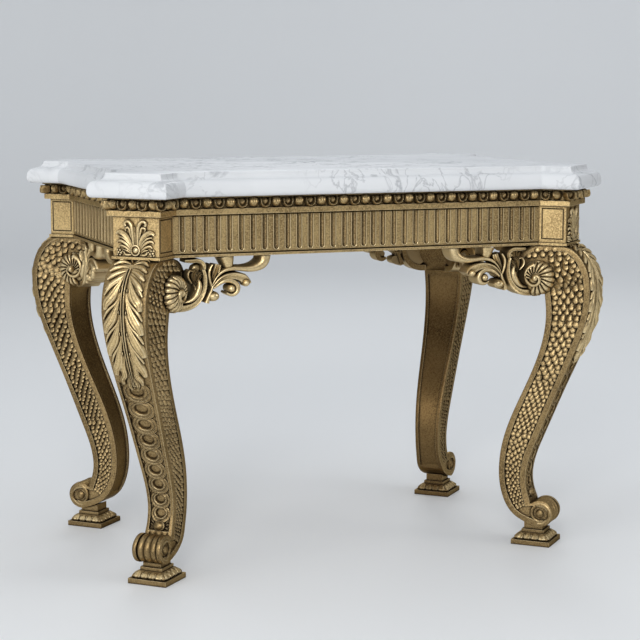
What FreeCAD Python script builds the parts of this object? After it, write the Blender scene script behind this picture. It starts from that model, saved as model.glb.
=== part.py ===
import FreeCAD, Part
import math
import os

os.makedirs("parts", exist_ok=True)

V = FreeCAD.Vector
UP = V(0, 0, 1)
ROOT2 = math.sqrt(2)

# ---------------------------------------------------------------- whole table
TABLE_HEIGHT = 850.0          # floor to top of the marble
FRIEZE_HALF_LENGTH = 488.8    # centre to the face of the side aprons
FRIEZE_HALF_DEPTH = 307.35    # centre to the face of the front and rear aprons

# ---------------------------------------------------------------- marble top
SLAB_THICKNESS = 49.0
SLAB_OVERHANG = 38.5          # beyond the frieze, all round
TOP_FILLET = 5.0              # height of the small upright at the top arris
COVE_WIDTH = 13.0
COVE_HEIGHT = 10.0
OVOLO_WIDTH = 12.0
OVOLO_HEIGHT = 19.0
UNDER_ROUND_WIDTH = 8.0
UNDER_ROUND_HEIGHT = 11.0
STEP_WIDTH = 1.0              # small flats between the mouldings
MOULDING_DEPTH = 25.0         # moulded edge, inwards from the cove
SLAB_CORE_SETBACK = 10.0      # flat body of the slab, inside the frieze's face
BEDDING = 1.5                 # thickness of the pads under the slab
PAD_SIZE = 40.0

# ---------------------------------------------------------------- frame
RAIL_HEIGHT = 122.5
RAIL_THICKNESS = 50.0
BASE_BEAD_HEIGHT = 5.5
BASE_BEAD_PROJECTION = 3.0
BASE_GROOVE_HEIGHT = 2.5
BASE_GROOVE_DEPTH = 1.5
POST_WIDTH = 104.0
POST_RETURN = 60.1            # how far each post stands forward of the aprons
POST_INNER = 104.15           # thickness of the post along its diagonal
PANEL_MARGIN = 5.0
PANEL_GROOVE = 2.7
PANEL_GROOVE_DEPTH = 2.0
BLOCK_DEPTH = 54.0            # corner block, along the diagonal
BLOCK_CLEAR_BELOW = 10.0      # corner block above the underside of the aprons
BLOCK_CLEAR_ABOVE = 15.0      # corner block below the top of the aprons
CROSS_RAIL_WIDTH = 45.0
CROSS_RAIL_HEIGHT = 60.0
CROSS_RAIL_HOUSING = 10.0
CROSS_RAIL_OFFSET = 150.0     # centre of the table to the centre of each cross rail

# ---------------------------------------------------------------- cornice
EGG_BAND_HEIGHT = 24.0
EGG_BAND_FOOT = 17.0          # projection at the bottom of the egg band
EGG_BAND_PROJECTION = 22.0
CORONA_HEIGHT = 12.0
CORONA_PROJECTION = 10.0

# ---------------------------------------------------------------- flutes
FLUTE_RADIUS = 5.25
FLUTE_FOOT = 11.5             # from the underside of the apron to the foot of a flute
FRONT_FLUTES = 33
SIDE_FLUTES = 17
FRONT_END_SHARE = 0.73        # end margin, as a share of the pitch
SIDE_END_SHARE = 0.83
MIDDLE_SHARE = 0.86           # the four middle intervals of the long aprons are closer

# ---------------------------------------------------------------- legs
FOOT_HEIGHT = 41.5            # floor to the lowest point of the foot scroll
LEG_TOP_FRONT = -8.0          # flat seat under the post, from here ...
LEG_TOP_BACK = -48.0          # ... to here along the diagonal
FOOT_SCROLL_RADIUS = 30.5
FOOT_SCROLL_CENTRE = -46.0
LEG_SWEEP = 143.0             # the back of the leg's calf, behind the frieze corner
LEG_STEP_IN = 2.0             # side of the leg inside the side of the post
LEG_WIDTH_ANKLE = 60.0
LEG_WIDTH_SCROLL = 66.0
SIDE_RECESS = 2.5             # depth of the fish-scale field
LEG_END_REACH = 60.0          # the leg's front outline is drawn this far past both ends
FIELD_END_REACH = 70.0        # and the sunk side field's this far
SIDE_BAND = 12.0              # width of the plain band round it
FRONT_CHANNEL = 5.0           # depth of the channel that holds the guilloche
FRONT_BORDER = 6.5            # width of the border on each side of the channel
BACK_CHANNEL = 4.0
BACK_BORDER = 8.0
SCROLL_EYE_RADIUS = 15.5
SCROLL_EYE_GROOVE = 3.0

# ---------------------------------------------------------------- leg ornament
LEAF_THICKNESS = 5.0
RING_BAND = 8.5               # width of the flat ring of the guilloche
RING_OVERLAP = 4.0            # how far one ring laps over the next
RING_CLEARANCE = 0.5          # ring to the border of the channel
BUTTON_RADIUS = 9.0           # button at the foot of the guilloche
ROSETTE_RADIUS = 39.0
ROSETTE_U = -54.6
ROSETTE_BELOW_TOP = 71.3      # centre of the rosette under the leg's seat
ROSETTE_THICKNESS = 20.0
ROSETTE_DOME = 14.0           # height of the sloping rim of the shell
ROSETTE_TOP_SHARE = 0.42      # radius where the slope ends, of the shell's radius
ROSETTE_BUTTON = 9.0
ROSETTE_BUTTON_RISE = 4.0
PALMETTE_RELIEF = 4.0
PALMETTE_WIDTH = 88.0
PALMETTE_BASE = 13.5          # middle of the boss's foot above the underside of the post
PALMETTE_CLEAR = 1.0          # between the palmette's nominal height and the cornice
PALMETTE_HEIGHT = RAIL_HEIGHT - EGG_BAND_HEIGHT - CORONA_HEIGHT - PALMETTE_BASE - PALMETTE_CLEAR
PALMETTE_BOSS = 11.5

# ---------------------------------------------------------------- brackets
BRACKET_THICKNESS = 45.0
BRACKET_SETBACK = 5.0         # behind the face of the aprons
BRACKET_REACH = 212.0         # from the side of the leg to the hooked tip
BRACKET_DROP = 116.0          # from the apron down to its lowest point

# ---------------------------------------------------------------- feet
PLINTH_SIZE = 88.8
PLINTH_HEIGHT = 11.0
FOOT_BEHIND_SCROLL = 17.3     # foot centre behind the scroll centre
CUSHION_HALF = 37.0
CUSHION_TOP_HALF = 28.0
CUSHION_HEIGHT = 15.0
COLLAR_HALF = 25.5
COLLAR_HEIGHT = 7.0
NECK_HALF = 21.0
NECK_OVERLAP = 16.0           # the neck's saddle rises this far above FOOT_HEIGHT

# ---------------------------------------------------------------- fixings
LEG_DOWEL_RADIUS = 14.0
LEG_DOWEL_U = -30.0
LEG_DOWEL_HALF = 45.0         # length in the leg and in the post
FOOT_DOWEL_RADIUS = 7.0
FOOT_DOWEL_BOTTOM = 25.0
FOOT_DOWEL_TOP = 62.0
FOOT_DOWEL_FORWARD = 5.0      # towards the scroll, from the middle of the foot
SCREW_RADIUS = 2.5
SCREW_HEAD_RADIUS = 4.5
SCREW_HEAD_HEIGHT = 4.0
SCREW_POCKET_RADIUS = 5.0
SCREW_POCKET_REACH = 80.0     # open way for the driver behind each screw head
SCREW_IN_RAIL = 28.0
SCREW_IN_BLOCK = 12.0

# ---------------------------------------------------------------- worked-out levels
SLAB_BOTTOM = TABLE_HEIGHT - SLAB_THICKNESS
FRAME_TOP = SLAB_BOTTOM - BEDDING
FRAME_BOTTOM = FRAME_TOP - RAIL_HEIGHT
EGG_BOTTOM = FRAME_TOP - EGG_BAND_HEIGHT
CORONA_BOTTOM = EGG_BOTTOM - CORONA_HEIGHT
LEG_HEIGHT = FRAME_BOTTOM - FOOT_HEIGHT
HALF_POST = POST_WIDTH / 2
LEG_WIDTH_TOP = POST_WIDTH - 2 * LEG_STEP_IN
BRACKET_START = LEG_WIDTH_TOP / 2 * ROOT2
BEYOND = 4 * FRIEZE_HALF_LENGTH
POST_FACE = POST_RETURN - HALF_POST
POST_BACK = POST_FACE - POST_INNER
FOOT_CENTRE = FOOT_SCROLL_CENTRE - FOOT_BEHIND_SCROLL
ROSETTE_Z = FRAME_BOTTOM - ROSETTE_BELOW_TOP
FRONT_RAIL_HALF = FRIEZE_HALF_LENGTH - (HALF_POST * ROOT2)
SIDE_RAIL_HALF = FRIEZE_HALF_DEPTH - (HALF_POST * ROOT2)

CORNERS = (("front_left", -1, -1), ("front_right", 1, -1), ("rear_left", -1, 1), ("rear_right", 1, 1))


# ---------------------------------------------------------------- helpers
def save(name, shape):
    shape.exportStep("parts/" + name + ".step")
    print(name, round(shape.Volume), len(shape.Solids))


def one_solid(shape):
    return shape.Solids[0] if len(shape.Solids) == 1 else shape


def prism(points, bottom, top):
    """Upright prism over the plan points (x, y)."""
    loop = [V(x, y, bottom) for x, y in points]
    face = Part.Face(Part.makePolygon(loop + [loop[0]]))
    return face.extrude(V(0, 0, top - bottom))


def mirrored(shape, sx, sy):
    """Copy of a piece of the rear right quarter in the quarter with signs sx, sy."""
    result = shape.copy()
    if sx < 0:
        result = result.mirror(V(0, 0, 0), V(1, 0, 0))
    if sy < 0:
        result = result.mirror(V(0, 0, 0), V(0, 1, 0))
    return result


def to_corner(shape):
    """Move a piece from the corner frame (u, l, z) to the rear right corner of the frieze."""
    result = shape.copy()
    result.rotate(V(0, 0, 0), UP, 45)
    result.translate(V(FRIEZE_HALF_LENGTH, FRIEZE_HALF_DEPTH, 0))
    return result


def save_corners(prefix, shape):
    for corner, sx, sy in CORNERS:
        save(prefix + "_" + corner, mirrored(shape, sx, sy))


def spline(points):
    curve = Part.BSplineCurve()
    curve.interpolate(points)
    return curve


def face_of(*curves):
    wire = Part.Wire([curve.toShape() if hasattr(curve, "toShape") else curve for curve in curves])
    return Part.Face(wire)


def line(start, end):
    return Part.makeLine(start, end)


def arc(start, middle, end):
    return Part.Arc(start, middle, end)


# ---------------------------------------------------------------- breakfront outline
def quarter_outline(offset):
    """Plan points of the rear right corner, from the side apron round to the rear apron."""
    half = HALF_POST + offset
    inner = ROOT2 * offset - half
    corner_points = ((inner, -half), (POST_FACE + offset, -half), (POST_FACE + offset, half), (inner, half))
    points = []
    for u, l in corner_points:
        points.append((FRIEZE_HALF_LENGTH + (u - l) / ROOT2, FRIEZE_HALF_DEPTH + (u + l) / ROOT2))
    return points


def outline(offset):
    """All sixteen plan points of the frieze outline, grown by offset, anticlockwise."""
    quarter = quarter_outline(offset)
    points = list(quarter)
    points += [(-x, y) for x, y in reversed(quarter)]
    points += [(-x, -y) for x, y in quarter]
    points += [(x, -y) for x, y in reversed(quarter)]
    return points


def moulding_run(edge, profile, inner, outer):
    """Mitred length of moulding on one edge of the outline; profile is a face in x (outwards), z."""
    inside = outline(inner)
    outside = outline(outer)
    face_line = outline(0)
    x0, y0 = face_line[edge]
    x1, y1 = face_line[(edge + 1) % 16]
    along = math.degrees(math.atan2(y1 - y0, x1 - x0))
    bounds = profile.BoundBox
    bar = profile.copy()
    bar.translate(V(0, -BEYOND, 0))
    bar = bar.extrude(V(0, 2 * BEYOND, 0))
    bar.rotate(V(0, 0, 0), UP, along - 90)
    bar.translate(V((x0 + x1) / 2, (y0 + y1) / 2, 0))
    following = (edge + 1) % 16
    plan = [inside[edge], outside[edge], outside[following], inside[following]]
    return bar.common(prism(plan, bounds.ZMin - 1, bounds.ZMax + 1))


def bead_run(edge):
    inside = outline(0)
    outside = outline(BASE_BEAD_PROJECTION)
    following = (edge + 1) % 16
    plan = [inside[edge], outside[edge], outside[following], inside[following]]
    return prism(plan, FRAME_BOTTOM, FRAME_BOTTOM + BASE_BEAD_HEIGHT)


# ---------------------------------------------------------------- marble top
def slab_profile():
    """Section of the slab's edge: fillet, cove, step, ovolo and a rounded underside."""
    edge = SLAB_OVERHANG
    ovolo_top = TABLE_HEIGHT - TOP_FILLET - COVE_HEIGHT - STEP_WIDTH
    ovolo_start = edge - OVOLO_WIDTH
    cove_end = ovolo_start - STEP_WIDTH
    cove_start = cove_end - COVE_WIDTH
    upright = cove_start - STEP_WIDTH
    back = upright - MOULDING_DEPTH
    ovolo_foot = ovolo_top - OVOLO_HEIGHT
    round_top = SLAB_BOTTOM + UNDER_ROUND_HEIGHT
    cove_top = TABLE_HEIGHT - TOP_FILLET - STEP_WIDTH
    cove_foot = cove_top - COVE_HEIGHT + STEP_WIDTH
    bend = 1 - math.sqrt(0.5)
    cove_middle = V(cove_start + COVE_WIDTH * bend, 0, cove_foot + (cove_top - cove_foot) * bend)
    ovolo_middle = V(edge - OVOLO_WIDTH * bend, 0, ovolo_top - OVOLO_HEIGHT * bend)
    round_middle = V(edge - UNDER_ROUND_WIDTH * bend, 0, SLAB_BOTTOM + UNDER_ROUND_HEIGHT * bend)
    return face_of(
        line(V(back, 0, SLAB_BOTTOM), V(back, 0, TABLE_HEIGHT)),
        line(V(back, 0, TABLE_HEIGHT), V(upright, 0, TABLE_HEIGHT)),
        line(V(upright, 0, TABLE_HEIGHT), V(upright, 0, cove_top)),
        line(V(upright, 0, cove_top), V(cove_start, 0, cove_top)),
        arc(V(cove_start, 0, cove_top), cove_middle, V(cove_end, 0, cove_foot)),
        line(V(cove_end, 0, cove_foot), V(cove_end, 0, ovolo_top)),
        line(V(cove_end, 0, ovolo_top), V(ovolo_start, 0, ovolo_top)),
        arc(V(ovolo_start, 0, ovolo_top), ovolo_middle, V(edge, 0, ovolo_foot)),
        line(V(edge, 0, ovolo_foot), V(edge, 0, round_top)),
        arc(V(edge, 0, round_top), round_middle, V(edge - UNDER_ROUND_WIDTH, 0, SLAB_BOTTOM)),
        line(V(edge - UNDER_ROUND_WIDTH, 0, SLAB_BOTTOM), V(back, 0, SLAB_BOTTOM)),
    )


def make_marble_top():
    profile = slab_profile()
    core = prism(outline(-SLAB_CORE_SETBACK), SLAB_BOTTOM, TABLE_HEIGHT)
    outer = SLAB_OVERHANG + STEP_WIDTH
    runs = [moulding_run(edge, profile, -SLAB_CORE_SETBACK, outer) for edge in range(16)]
    return one_solid(core.multiFuse(runs).removeSplitter())


def make_slab_pads():
    half = PAD_SIZE / 2
    spots = []
    post_spot = POST_BACK / 2 / ROOT2
    for sx in (-1, 1):
        for sy in (-1, 1):
            spots.append((sx * (FRIEZE_HALF_LENGTH + post_spot), sy * (FRIEZE_HALF_DEPTH + post_spot)))
    rail_middle = FRIEZE_HALF_DEPTH - RAIL_THICKNESS / 2
    for sx in (-1, 0, 1):
        for sy in (-1, 1):
            spots.append((sx * FRONT_RAIL_HALF / 2, sy * rail_middle))
    for sx in (-1, 1):
        spots.append((sx * (FRIEZE_HALF_LENGTH - RAIL_THICKNESS / 2), 0))
        spots.append((sx * CROSS_RAIL_OFFSET, 0))
    pads = []
    for x, y in spots:
        plan = [(x - half, y - half), (x + half, y - half), (x + half, y + half), (x - half, y + half)]
        pads.append(prism(plan, FRAME_TOP, SLAB_BOTTOM))
    return Part.makeCompound(pads)


# ---------------------------------------------------------------- aprons
def flute_positions(half_rail, count, end_share, middle_share):
    """Centres of the flutes along an apron; the four middle intervals take middle_share."""
    intervals = [1.0] * (count - 1)
    middle = (count - 1) // 2
    for index in range(middle - 2, middle + 2):
        intervals[index] = middle_share
    pitch = 2 * half_rail / (sum(intervals) + 2 * end_share)
    place = -half_rail + end_share * pitch
    positions = [place]
    for interval in intervals:
        place += interval * pitch
        positions.append(place)
    return positions


def flute_cutter(position, face):
    foot = FRAME_BOTTOM + FLUTE_FOOT + FLUTE_RADIUS
    shaft = Part.makeCylinder(FLUTE_RADIUS, CORONA_BOTTOM - foot, V(position, face, foot))
    return shaft.fuse(Part.makeSphere(FLUTE_RADIUS, V(position, face, foot)))


def apron(half_rail, face, positions, edge_turn):
    """Apron along X with its outer face at y = face; edge_turn is the bead, already in place."""
    back = face - RAIL_THICKNESS
    half_back = half_rail - RAIL_THICKNESS
    plan = [(-half_rail, face), (half_rail, face), (half_back, back), (-half_back, back)]
    board = prism(plan, FRAME_BOTTOM, FRAME_TOP)
    groove_bottom = FRAME_BOTTOM + BASE_BEAD_HEIGHT
    groove_face = face - BASE_GROOVE_DEPTH
    groove_plan = [(-BEYOND, groove_face), (BEYOND, groove_face), (BEYOND, 2 * face), (-BEYOND, 2 * face)]
    board = board.cut(prism(groove_plan, groove_bottom, groove_bottom + BASE_GROOVE_HEIGHT))
    board = board.cut([flute_cutter(position, face) for position in positions])
    return board.fuse(edge_turn).removeSplitter()


def make_long_apron():
    positions = flute_positions(FRONT_RAIL_HALF, FRONT_FLUTES, FRONT_END_SHARE, MIDDLE_SHARE)
    board = apron(FRONT_RAIL_HALF, FRIEZE_HALF_DEPTH, positions, bead_run(3))
    board = board.cut([cross_rail(sx) for sx in (-1, 1)])
    return board.cut(corner_screw_shanks())


def make_short_apron():
    """Side apron at the positive X end."""
    positions = flute_positions(SIDE_RAIL_HALF, SIDE_FLUTES, SIDE_END_SHARE, 1.0)
    bead = bead_run(15)
    bead.rotate(V(0, 0, 0), UP, 90)
    board = apron(SIDE_RAIL_HALF, FRIEZE_HALF_LENGTH, positions, bead)
    board.rotate(V(0, 0, 0), UP, -90)
    return board.cut(corner_screw_shanks())


def cross_rail(side):
    half_length = FRIEZE_HALF_DEPTH - RAIL_THICKNESS + CROSS_RAIL_HOUSING
    half_width = CROSS_RAIL_WIDTH / 2
    middle = side * CROSS_RAIL_OFFSET
    plan = [(middle - half_width, -half_length), (middle + half_width, -half_length),
            (middle + half_width, half_length), (middle - half_width, half_length)]
    return prism(plan, FRAME_TOP - CROSS_RAIL_HEIGHT, FRAME_TOP)


# ---------------------------------------------------------------- corner posts
def return_panel_groove():
    """Ring-shaped groove round the raised panel on the return face at l = +HALF_POST."""
    bottom = FRAME_BOTTOM + BASE_BEAD_HEIGHT + BASE_GROOVE_HEIGHT + PANEL_MARGIN
    top = CORONA_BOTTOM - PANEL_MARGIN
    front = POST_FACE - PANEL_MARGIN
    back = POST_FACE - POST_RETURN + PANEL_MARGIN
    depth = PANEL_GROOVE_DEPTH
    base = HALF_POST - depth
    outer = Part.makeBox(front - back, depth + 5, top - bottom, V(back, base, bottom))
    inset = PANEL_GROOVE
    inner = Part.makeBox(front - back - 2 * inset, depth + 5, top - bottom - 2 * inset,
                         V(back + inset, base, bottom + inset))
    return outer.cut(inner)


def make_post():
    post = Part.makeBox(POST_INNER, POST_WIDTH, RAIL_HEIGHT, V(POST_BACK, -HALF_POST, FRAME_BOTTOM))
    groove = return_panel_groove()
    post = post.cut([groove, groove.mirror(V(0, 0, 0), V(0, 1, 0))])
    post = to_corner(post.cut(leg_dowel()))
    return one_solid(post.multiFuse([bead_run(edge) for edge in (0, 1, 2)]).removeSplitter())


def make_corner_block():
    """Block glued behind the post, filling the angle between the two aprons."""
    side = HALF_POST
    inner_rail = -(HALF_POST + RAIL_THICKNESS * ROOT2)
    back = POST_BACK - BLOCK_DEPTH
    spread = side + (inner_rail - back)
    plan = [(POST_BACK, -side), (POST_BACK, side), (inner_rail, side), (back, spread),
            (back, -spread), (inner_rail, -side)]
    block = to_corner(prism(plan, FRAME_BOTTOM + BLOCK_CLEAR_BELOW, FRAME_TOP - BLOCK_CLEAR_ABOVE))
    return block.cut(corner_screw_pockets() + corner_screw_shanks())


def screw_axis_points():
    """Seat points of the two screws of the rear right corner, on the aprons' inner faces."""
    glued_depth = RAIL_THICKNESS * ROOT2 + HALF_POST + POST_BACK
    step = (BLOCK_DEPTH - glued_depth) / ROOT2
    from_corner = HALF_POST * ROOT2 + RAIL_THICKNESS + step
    inner_y = FRIEZE_HALF_DEPTH - RAIL_THICKNESS
    inner_x = FRIEZE_HALF_LENGTH - RAIL_THICKNESS
    height = (FRAME_BOTTOM + FRAME_TOP) / 2
    return (
        (V(FRIEZE_HALF_LENGTH - from_corner, inner_y, height), V(0, 1, 0)),
        (V(inner_x, FRIEZE_HALF_DEPTH - from_corner, height), V(1, 0, 0)),
    )


def corner_screw_shanks():
    shanks = []
    for seat, direction in screw_axis_points():
        start = seat - direction * SCREW_IN_BLOCK
        shanks.append(Part.makeCylinder(SCREW_RADIUS, SCREW_IN_BLOCK + SCREW_IN_RAIL, start, direction))
    both = []
    for corner, sx, sy in CORNERS:
        both += [mirrored(shank, sx, sy) for shank in shanks]
    return both


def corner_screw_pockets():
    pockets = []
    for seat, direction in screw_axis_points():
        start = seat - direction * (SCREW_IN_BLOCK + SCREW_POCKET_REACH)
        pockets.append(Part.makeCylinder(SCREW_POCKET_RADIUS, SCREW_POCKET_REACH, start, direction))
    return pockets


def make_corner_screws():
    screws = []
    for seat, direction in screw_axis_points():
        start = seat - direction * SCREW_IN_BLOCK
        shank = Part.makeCylinder(SCREW_RADIUS, SCREW_IN_BLOCK + SCREW_IN_RAIL, start, direction)
        head_start = start - direction * SCREW_HEAD_HEIGHT
        head = Part.makeCylinder(SCREW_HEAD_RADIUS, SCREW_HEAD_HEIGHT, head_start, direction)
        screws.append(shank.fuse(head))
    everywhere = []
    for corner, sx, sy in CORNERS:
        everywhere += [mirrored(screw, sx, sy) for screw in screws]
    return Part.makeCompound(everywhere)


# ---------------------------------------------------------------- cornice
def cornice_profile():
    """Section of the cornice: flat corona below, swelling egg band above."""
    swell = V(EGG_BAND_PROJECTION, 0, EGG_BOTTOM + EGG_BAND_HEIGHT * 0.45)
    corners = [V(0, 0, FRAME_TOP), V(0, 0, CORONA_BOTTOM), V(CORONA_PROJECTION, 0, CORONA_BOTTOM),
               V(CORONA_PROJECTION, 0, EGG_BOTTOM), V(EGG_BAND_FOOT, 0, EGG_BOTTOM)]
    edges = [line(corners[index], corners[index + 1]) for index in range(4)]
    edges.append(arc(corners[4], swell, V(EGG_BAND_PROJECTION, 0, FRAME_TOP)))
    edges.append(line(V(EGG_BAND_PROJECTION, 0, FRAME_TOP), corners[0]))
    return face_of(*edges)


def save_cornice():
    profile = cornice_profile()
    reach = EGG_BAND_PROJECTION + 2
    corner = moulding_run(0, profile, 0, reach)
    corner = corner.multiFuse([moulding_run(edge, profile, 0, reach) for edge in (1, 2)])
    save_corners("cornice_corner", one_solid(corner.removeSplitter()))
    for name, edge in (("rear", 3), ("left", 7), ("front", 11), ("right", 15)):
        save("cornice_" + name, one_solid(moulding_run(edge, profile, 0, reach)))


# ---------------------------------------------------------------- leg outline
def leg_spot(u, rise):
    """Point of the leg's side view at a distance u; rise is a share of the leg's height."""
    return V(u, 0, FOOT_HEIGHT + rise * LEG_HEIGHT)


def leg_point(sweep, rise):
    """Point of the leg's side view, as shares of the leg's sweep and of its height."""
    return leg_spot(sweep * LEG_SWEEP, rise)


def outer_curve():
    """Front of the leg, from the seat over the knee down to the foot scroll."""
    points = [leg_spot(LEG_TOP_FRONT, 1), leg_point(0.070, 0.9945), leg_point(0.259, 0.966),
              leg_point(0.399, 0.910), leg_point(0.441, 0.847), leg_point(0.399, 0.756),
              leg_point(0.238, 0.649), leg_point(-0.042, 0.504), leg_point(-0.378, 0.320),
              leg_point(-0.538, 0.218), leg_point(-0.559, 0.147), scroll_point(135)]
    return spline(points)


CUSP = (-0.269, 0.838)


def inner_curve():
    """Back of the leg, from under the foot scroll up to the cusp below the upper scroll."""
    points = [scroll_point(260), leg_point(-0.748, 0.0386), leg_point(-0.951, 0.111),
              leg_point(-1.0, 0.205), leg_point(-0.937, 0.301), leg_point(-0.664, 0.459),
              leg_point(-0.371, 0.614), leg_point(-0.245, 0.764), leg_point(*CUSP)]
    return spline(points)


def upper_scroll_curve():
    """Back of the upper scroll, from the cusp up to the seat."""
    points = [leg_point(*CUSP), leg_point(-0.434, 0.8215), leg_point(-0.629, 0.847),
              leg_point(-0.720, 0.902), leg_point(-0.685, 0.9575), leg_point(-0.571, 0.9835),
              leg_spot(LEG_TOP_BACK, 1)]
    return spline(points)


def scroll_point(degrees):
    angle = math.radians(degrees)
    return V(FOOT_SCROLL_CENTRE + FOOT_SCROLL_RADIUS * math.cos(angle), 0,
             FOOT_HEIGHT + FOOT_SCROLL_RADIUS * (1 + math.sin(angle)))


def leg_side_face():
    seat = line(leg_spot(LEG_TOP_BACK, 1), leg_spot(LEG_TOP_FRONT, 1))
    scroll = arc(scroll_point(135), scroll_point(0), scroll_point(260))
    return face_of(outer_curve(), scroll, inner_curve(), upper_scroll_curve(), seat)


def half_width(share):
    """Half width of the leg across its front at a share of its height."""
    ankle = LEG_WIDTH_ANKLE / 2
    growth = max(0.0, min(1.0, (share - 0.17) / 0.67))
    return ankle + (LEG_WIDTH_TOP / 2 - ankle) * growth ** 1.2


def front_silhouette(inset, reach=LEG_END_REACH):
    """Solid that holds everything within the leg's width less inset on each side."""
    top_share = 0.84
    right = [V(0, LEG_WIDTH_SCROLL / 2 - inset, FOOT_HEIGHT - reach),
             V(0, LEG_WIDTH_SCROLL / 2 - inset, FOOT_HEIGHT + 0.05 * LEG_HEIGHT)]
    for share in (0.12, 0.17, 0.27, 0.38, 0.49, 0.60, 0.72, top_share):
        right.append(V(0, half_width(share) - inset, FOOT_HEIGHT + share * LEG_HEIGHT))
    top = V(0, LEG_WIDTH_TOP / 2 - inset, FRAME_BOTTOM + reach)
    left = [V(0, -point.y, point.z) for point in right]
    top_left = V(0, -top.y, top.z)
    face = face_of(line(right[0], right[1]), spline(right[1:]), line(right[-1], top),
                   line(top, top_left), line(top_left, left[-1]), spline(left[1:]),
                   line(left[1], left[0]), line(left[0], right[0]))
    face.translate(V(-BEYOND, 0, 0))
    return face.extrude(V(2 * BEYOND, 0, 0))


def through(side_view):
    """Solid with a side view as its section, wider than the leg."""
    side_view.translate(V(0, -POST_WIDTH, 0))
    return side_view.extrude(V(0, 2 * POST_WIDTH, 0))


def offset_points(curve, distance, first, last, count):
    """Points beside a curve in the side view, distance to the right of its direction."""
    points = []
    for index in range(count + 1):
        place = first + (last - first) * index / count
        tangent = curve.tangent(place)[0]
        aside = V(-tangent.z, 0, tangent.x)
        points.append(curve.value(place) + aside * distance)
    return points


def skin(curve, low, high, share_top, share_bottom):
    """Layer along a leg curve between two offsets, from one height share to another."""
    start = curve.parameter(curve_point_at(curve, share_top))
    end = curve.parameter(curve_point_at(curve, share_bottom))
    near = offset_points(curve, low, start, end, 14)
    far = offset_points(curve, high, start, end, 14)
    return through(face_of(spline(near), line(near[-1], far[-1]), spline(list(reversed(far))),
                           line(far[0], near[0])))


def curve_point_at(curve, share):
    """Point of a leg curve at a height share, by halving."""
    target = FOOT_HEIGHT + share * LEG_HEIGHT
    low = curve.FirstParameter
    high = curve.LastParameter
    falling = curve.value(low).z > curve.value(high).z
    for turn in range(40):
        middle = (low + high) / 2
        above = curve.value(middle).z > target
        if above == falling:
            low = middle
        else:
            high = middle
    return curve.value((low + high) / 2)


# ---------------------------------------------------------------- leg
def scale_field():
    """Sunk field on the side of the leg, inside the plain band."""
    outer = outer_curve()
    inner = inner_curve()
    top_start = outer.parameter(curve_point_at(outer, 0.955))
    ankle = outer.parameter(curve_point_at(outer, 0.17))
    front = offset_points(outer, -SIDE_BAND, top_start, ankle, 12)
    low = inner.parameter(curve_point_at(inner, 0.13))
    cusp = inner.parameter(curve_point_at(inner, 0.80))
    back = offset_points(inner, -SIDE_BAND, low, cusp, 12)
    crown = [back[-1], leg_point(-0.420, 0.845), leg_point(-0.573, 0.875), leg_point(-0.629, 0.915),
             leg_point(-0.601, 0.960), leg_point(-0.266, 0.981), front[0]]
    return through(face_of(spline(front), line(front[-1], back[0]), spline(back), spline(crown)))


def leg_dowel():
    return Part.makeCylinder(LEG_DOWEL_RADIUS, 2 * LEG_DOWEL_HALF,
                             V(LEG_DOWEL_U, 0, FRAME_BOTTOM - LEG_DOWEL_HALF))


def foot_dowel():
    return Part.makeCylinder(FOOT_DOWEL_RADIUS, FOOT_DOWEL_TOP - FOOT_DOWEL_BOTTOM,
                             V(FOOT_CENTRE + FOOT_DOWEL_FORWARD, 0, FOOT_DOWEL_BOTTOM))


def scroll_eye_grooves():
    """Ring grooves round the eye of the foot scroll, one on each side."""
    depth = 2.0
    base = LEG_WIDTH_SCROLL / 2 - depth
    centre = V(FOOT_SCROLL_CENTRE, base, FOOT_HEIGHT + FOOT_SCROLL_RADIUS)
    outer = Part.makeCylinder(SCROLL_EYE_RADIUS + SCROLL_EYE_GROOVE, 20, centre, V(0, 1, 0))
    inner = Part.makeCylinder(SCROLL_EYE_RADIUS, 20, centre, V(0, 1, 0))
    ring = outer.cut(inner)
    return [ring, ring.mirror(V(0, 0, 0), V(0, 1, 0))]


def make_leg():
    leg = through(leg_side_face()).common(front_silhouette(0))
    seat = Part.makeCylinder(ROSETTE_RADIUS, 2 * POST_WIDTH, V(ROSETTE_U, -POST_WIDTH, ROSETTE_Z), V(0, 1, 0))
    sunk = scale_field().cut(seat).cut(front_silhouette(SIDE_RECESS, FIELD_END_REACH))
    leg = leg.cut(sunk)
    leg = leg.cut(front_channel())
    back_channel = skin(inner_curve(), -BACK_CHANNEL, 12, 0.12, 0.80)
    leg = leg.cut(back_channel.common(front_silhouette(BACK_BORDER)))
    return one_solid(leg.cut(scroll_eye_grooves() + [leg_dowel(), foot_dowel()]))


def front_channel():
    """Sunk channel down the front of the leg, between the leaf and the foot scroll."""
    layer = skin(outer_curve(), -FRONT_CHANNEL, 12, 0.604, 0.098)
    return layer.common(front_silhouette(FRONT_BORDER))


# ---------------------------------------------------------------- leg ornament
def ring_places():
    """Height share and height of each ring of the guilloche, from the knee to the ankle."""
    shares = (0.575, 0.515, 0.4615, 0.4085, 0.3535, 0.3015, 0.2495, 0.1975, 0.1515)
    steps = [(above - below) * LEG_HEIGHT for above, below in zip(shares, shares[1:])]
    steps.append(steps[-1])
    return [(share, step + RING_OVERLAP) for share, step in zip(shares, steps)]


def ellipse_prism(half_across, half_up, height):
    """Elliptical rod through the leg along u, centred at a height."""
    long_first = half_across >= half_up
    major = max(half_across, half_up)
    minor = min(half_across, half_up)
    ellipse = Part.Ellipse(V(0, 0, 0), major, minor)
    face = Part.Face(Part.Wire(ellipse.toShape()))
    if not long_first:
        face.rotate(V(0, 0, 0), UP, 90)
    face.rotate(V(0, 0, 0), V(0, 1, 0), 90)
    face.rotate(V(0, 0, 0), V(1, 0, 0), 90)
    face.translate(V(-BEYOND, 0, height))
    return face.extrude(V(2 * BEYOND, 0, 0))


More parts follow.
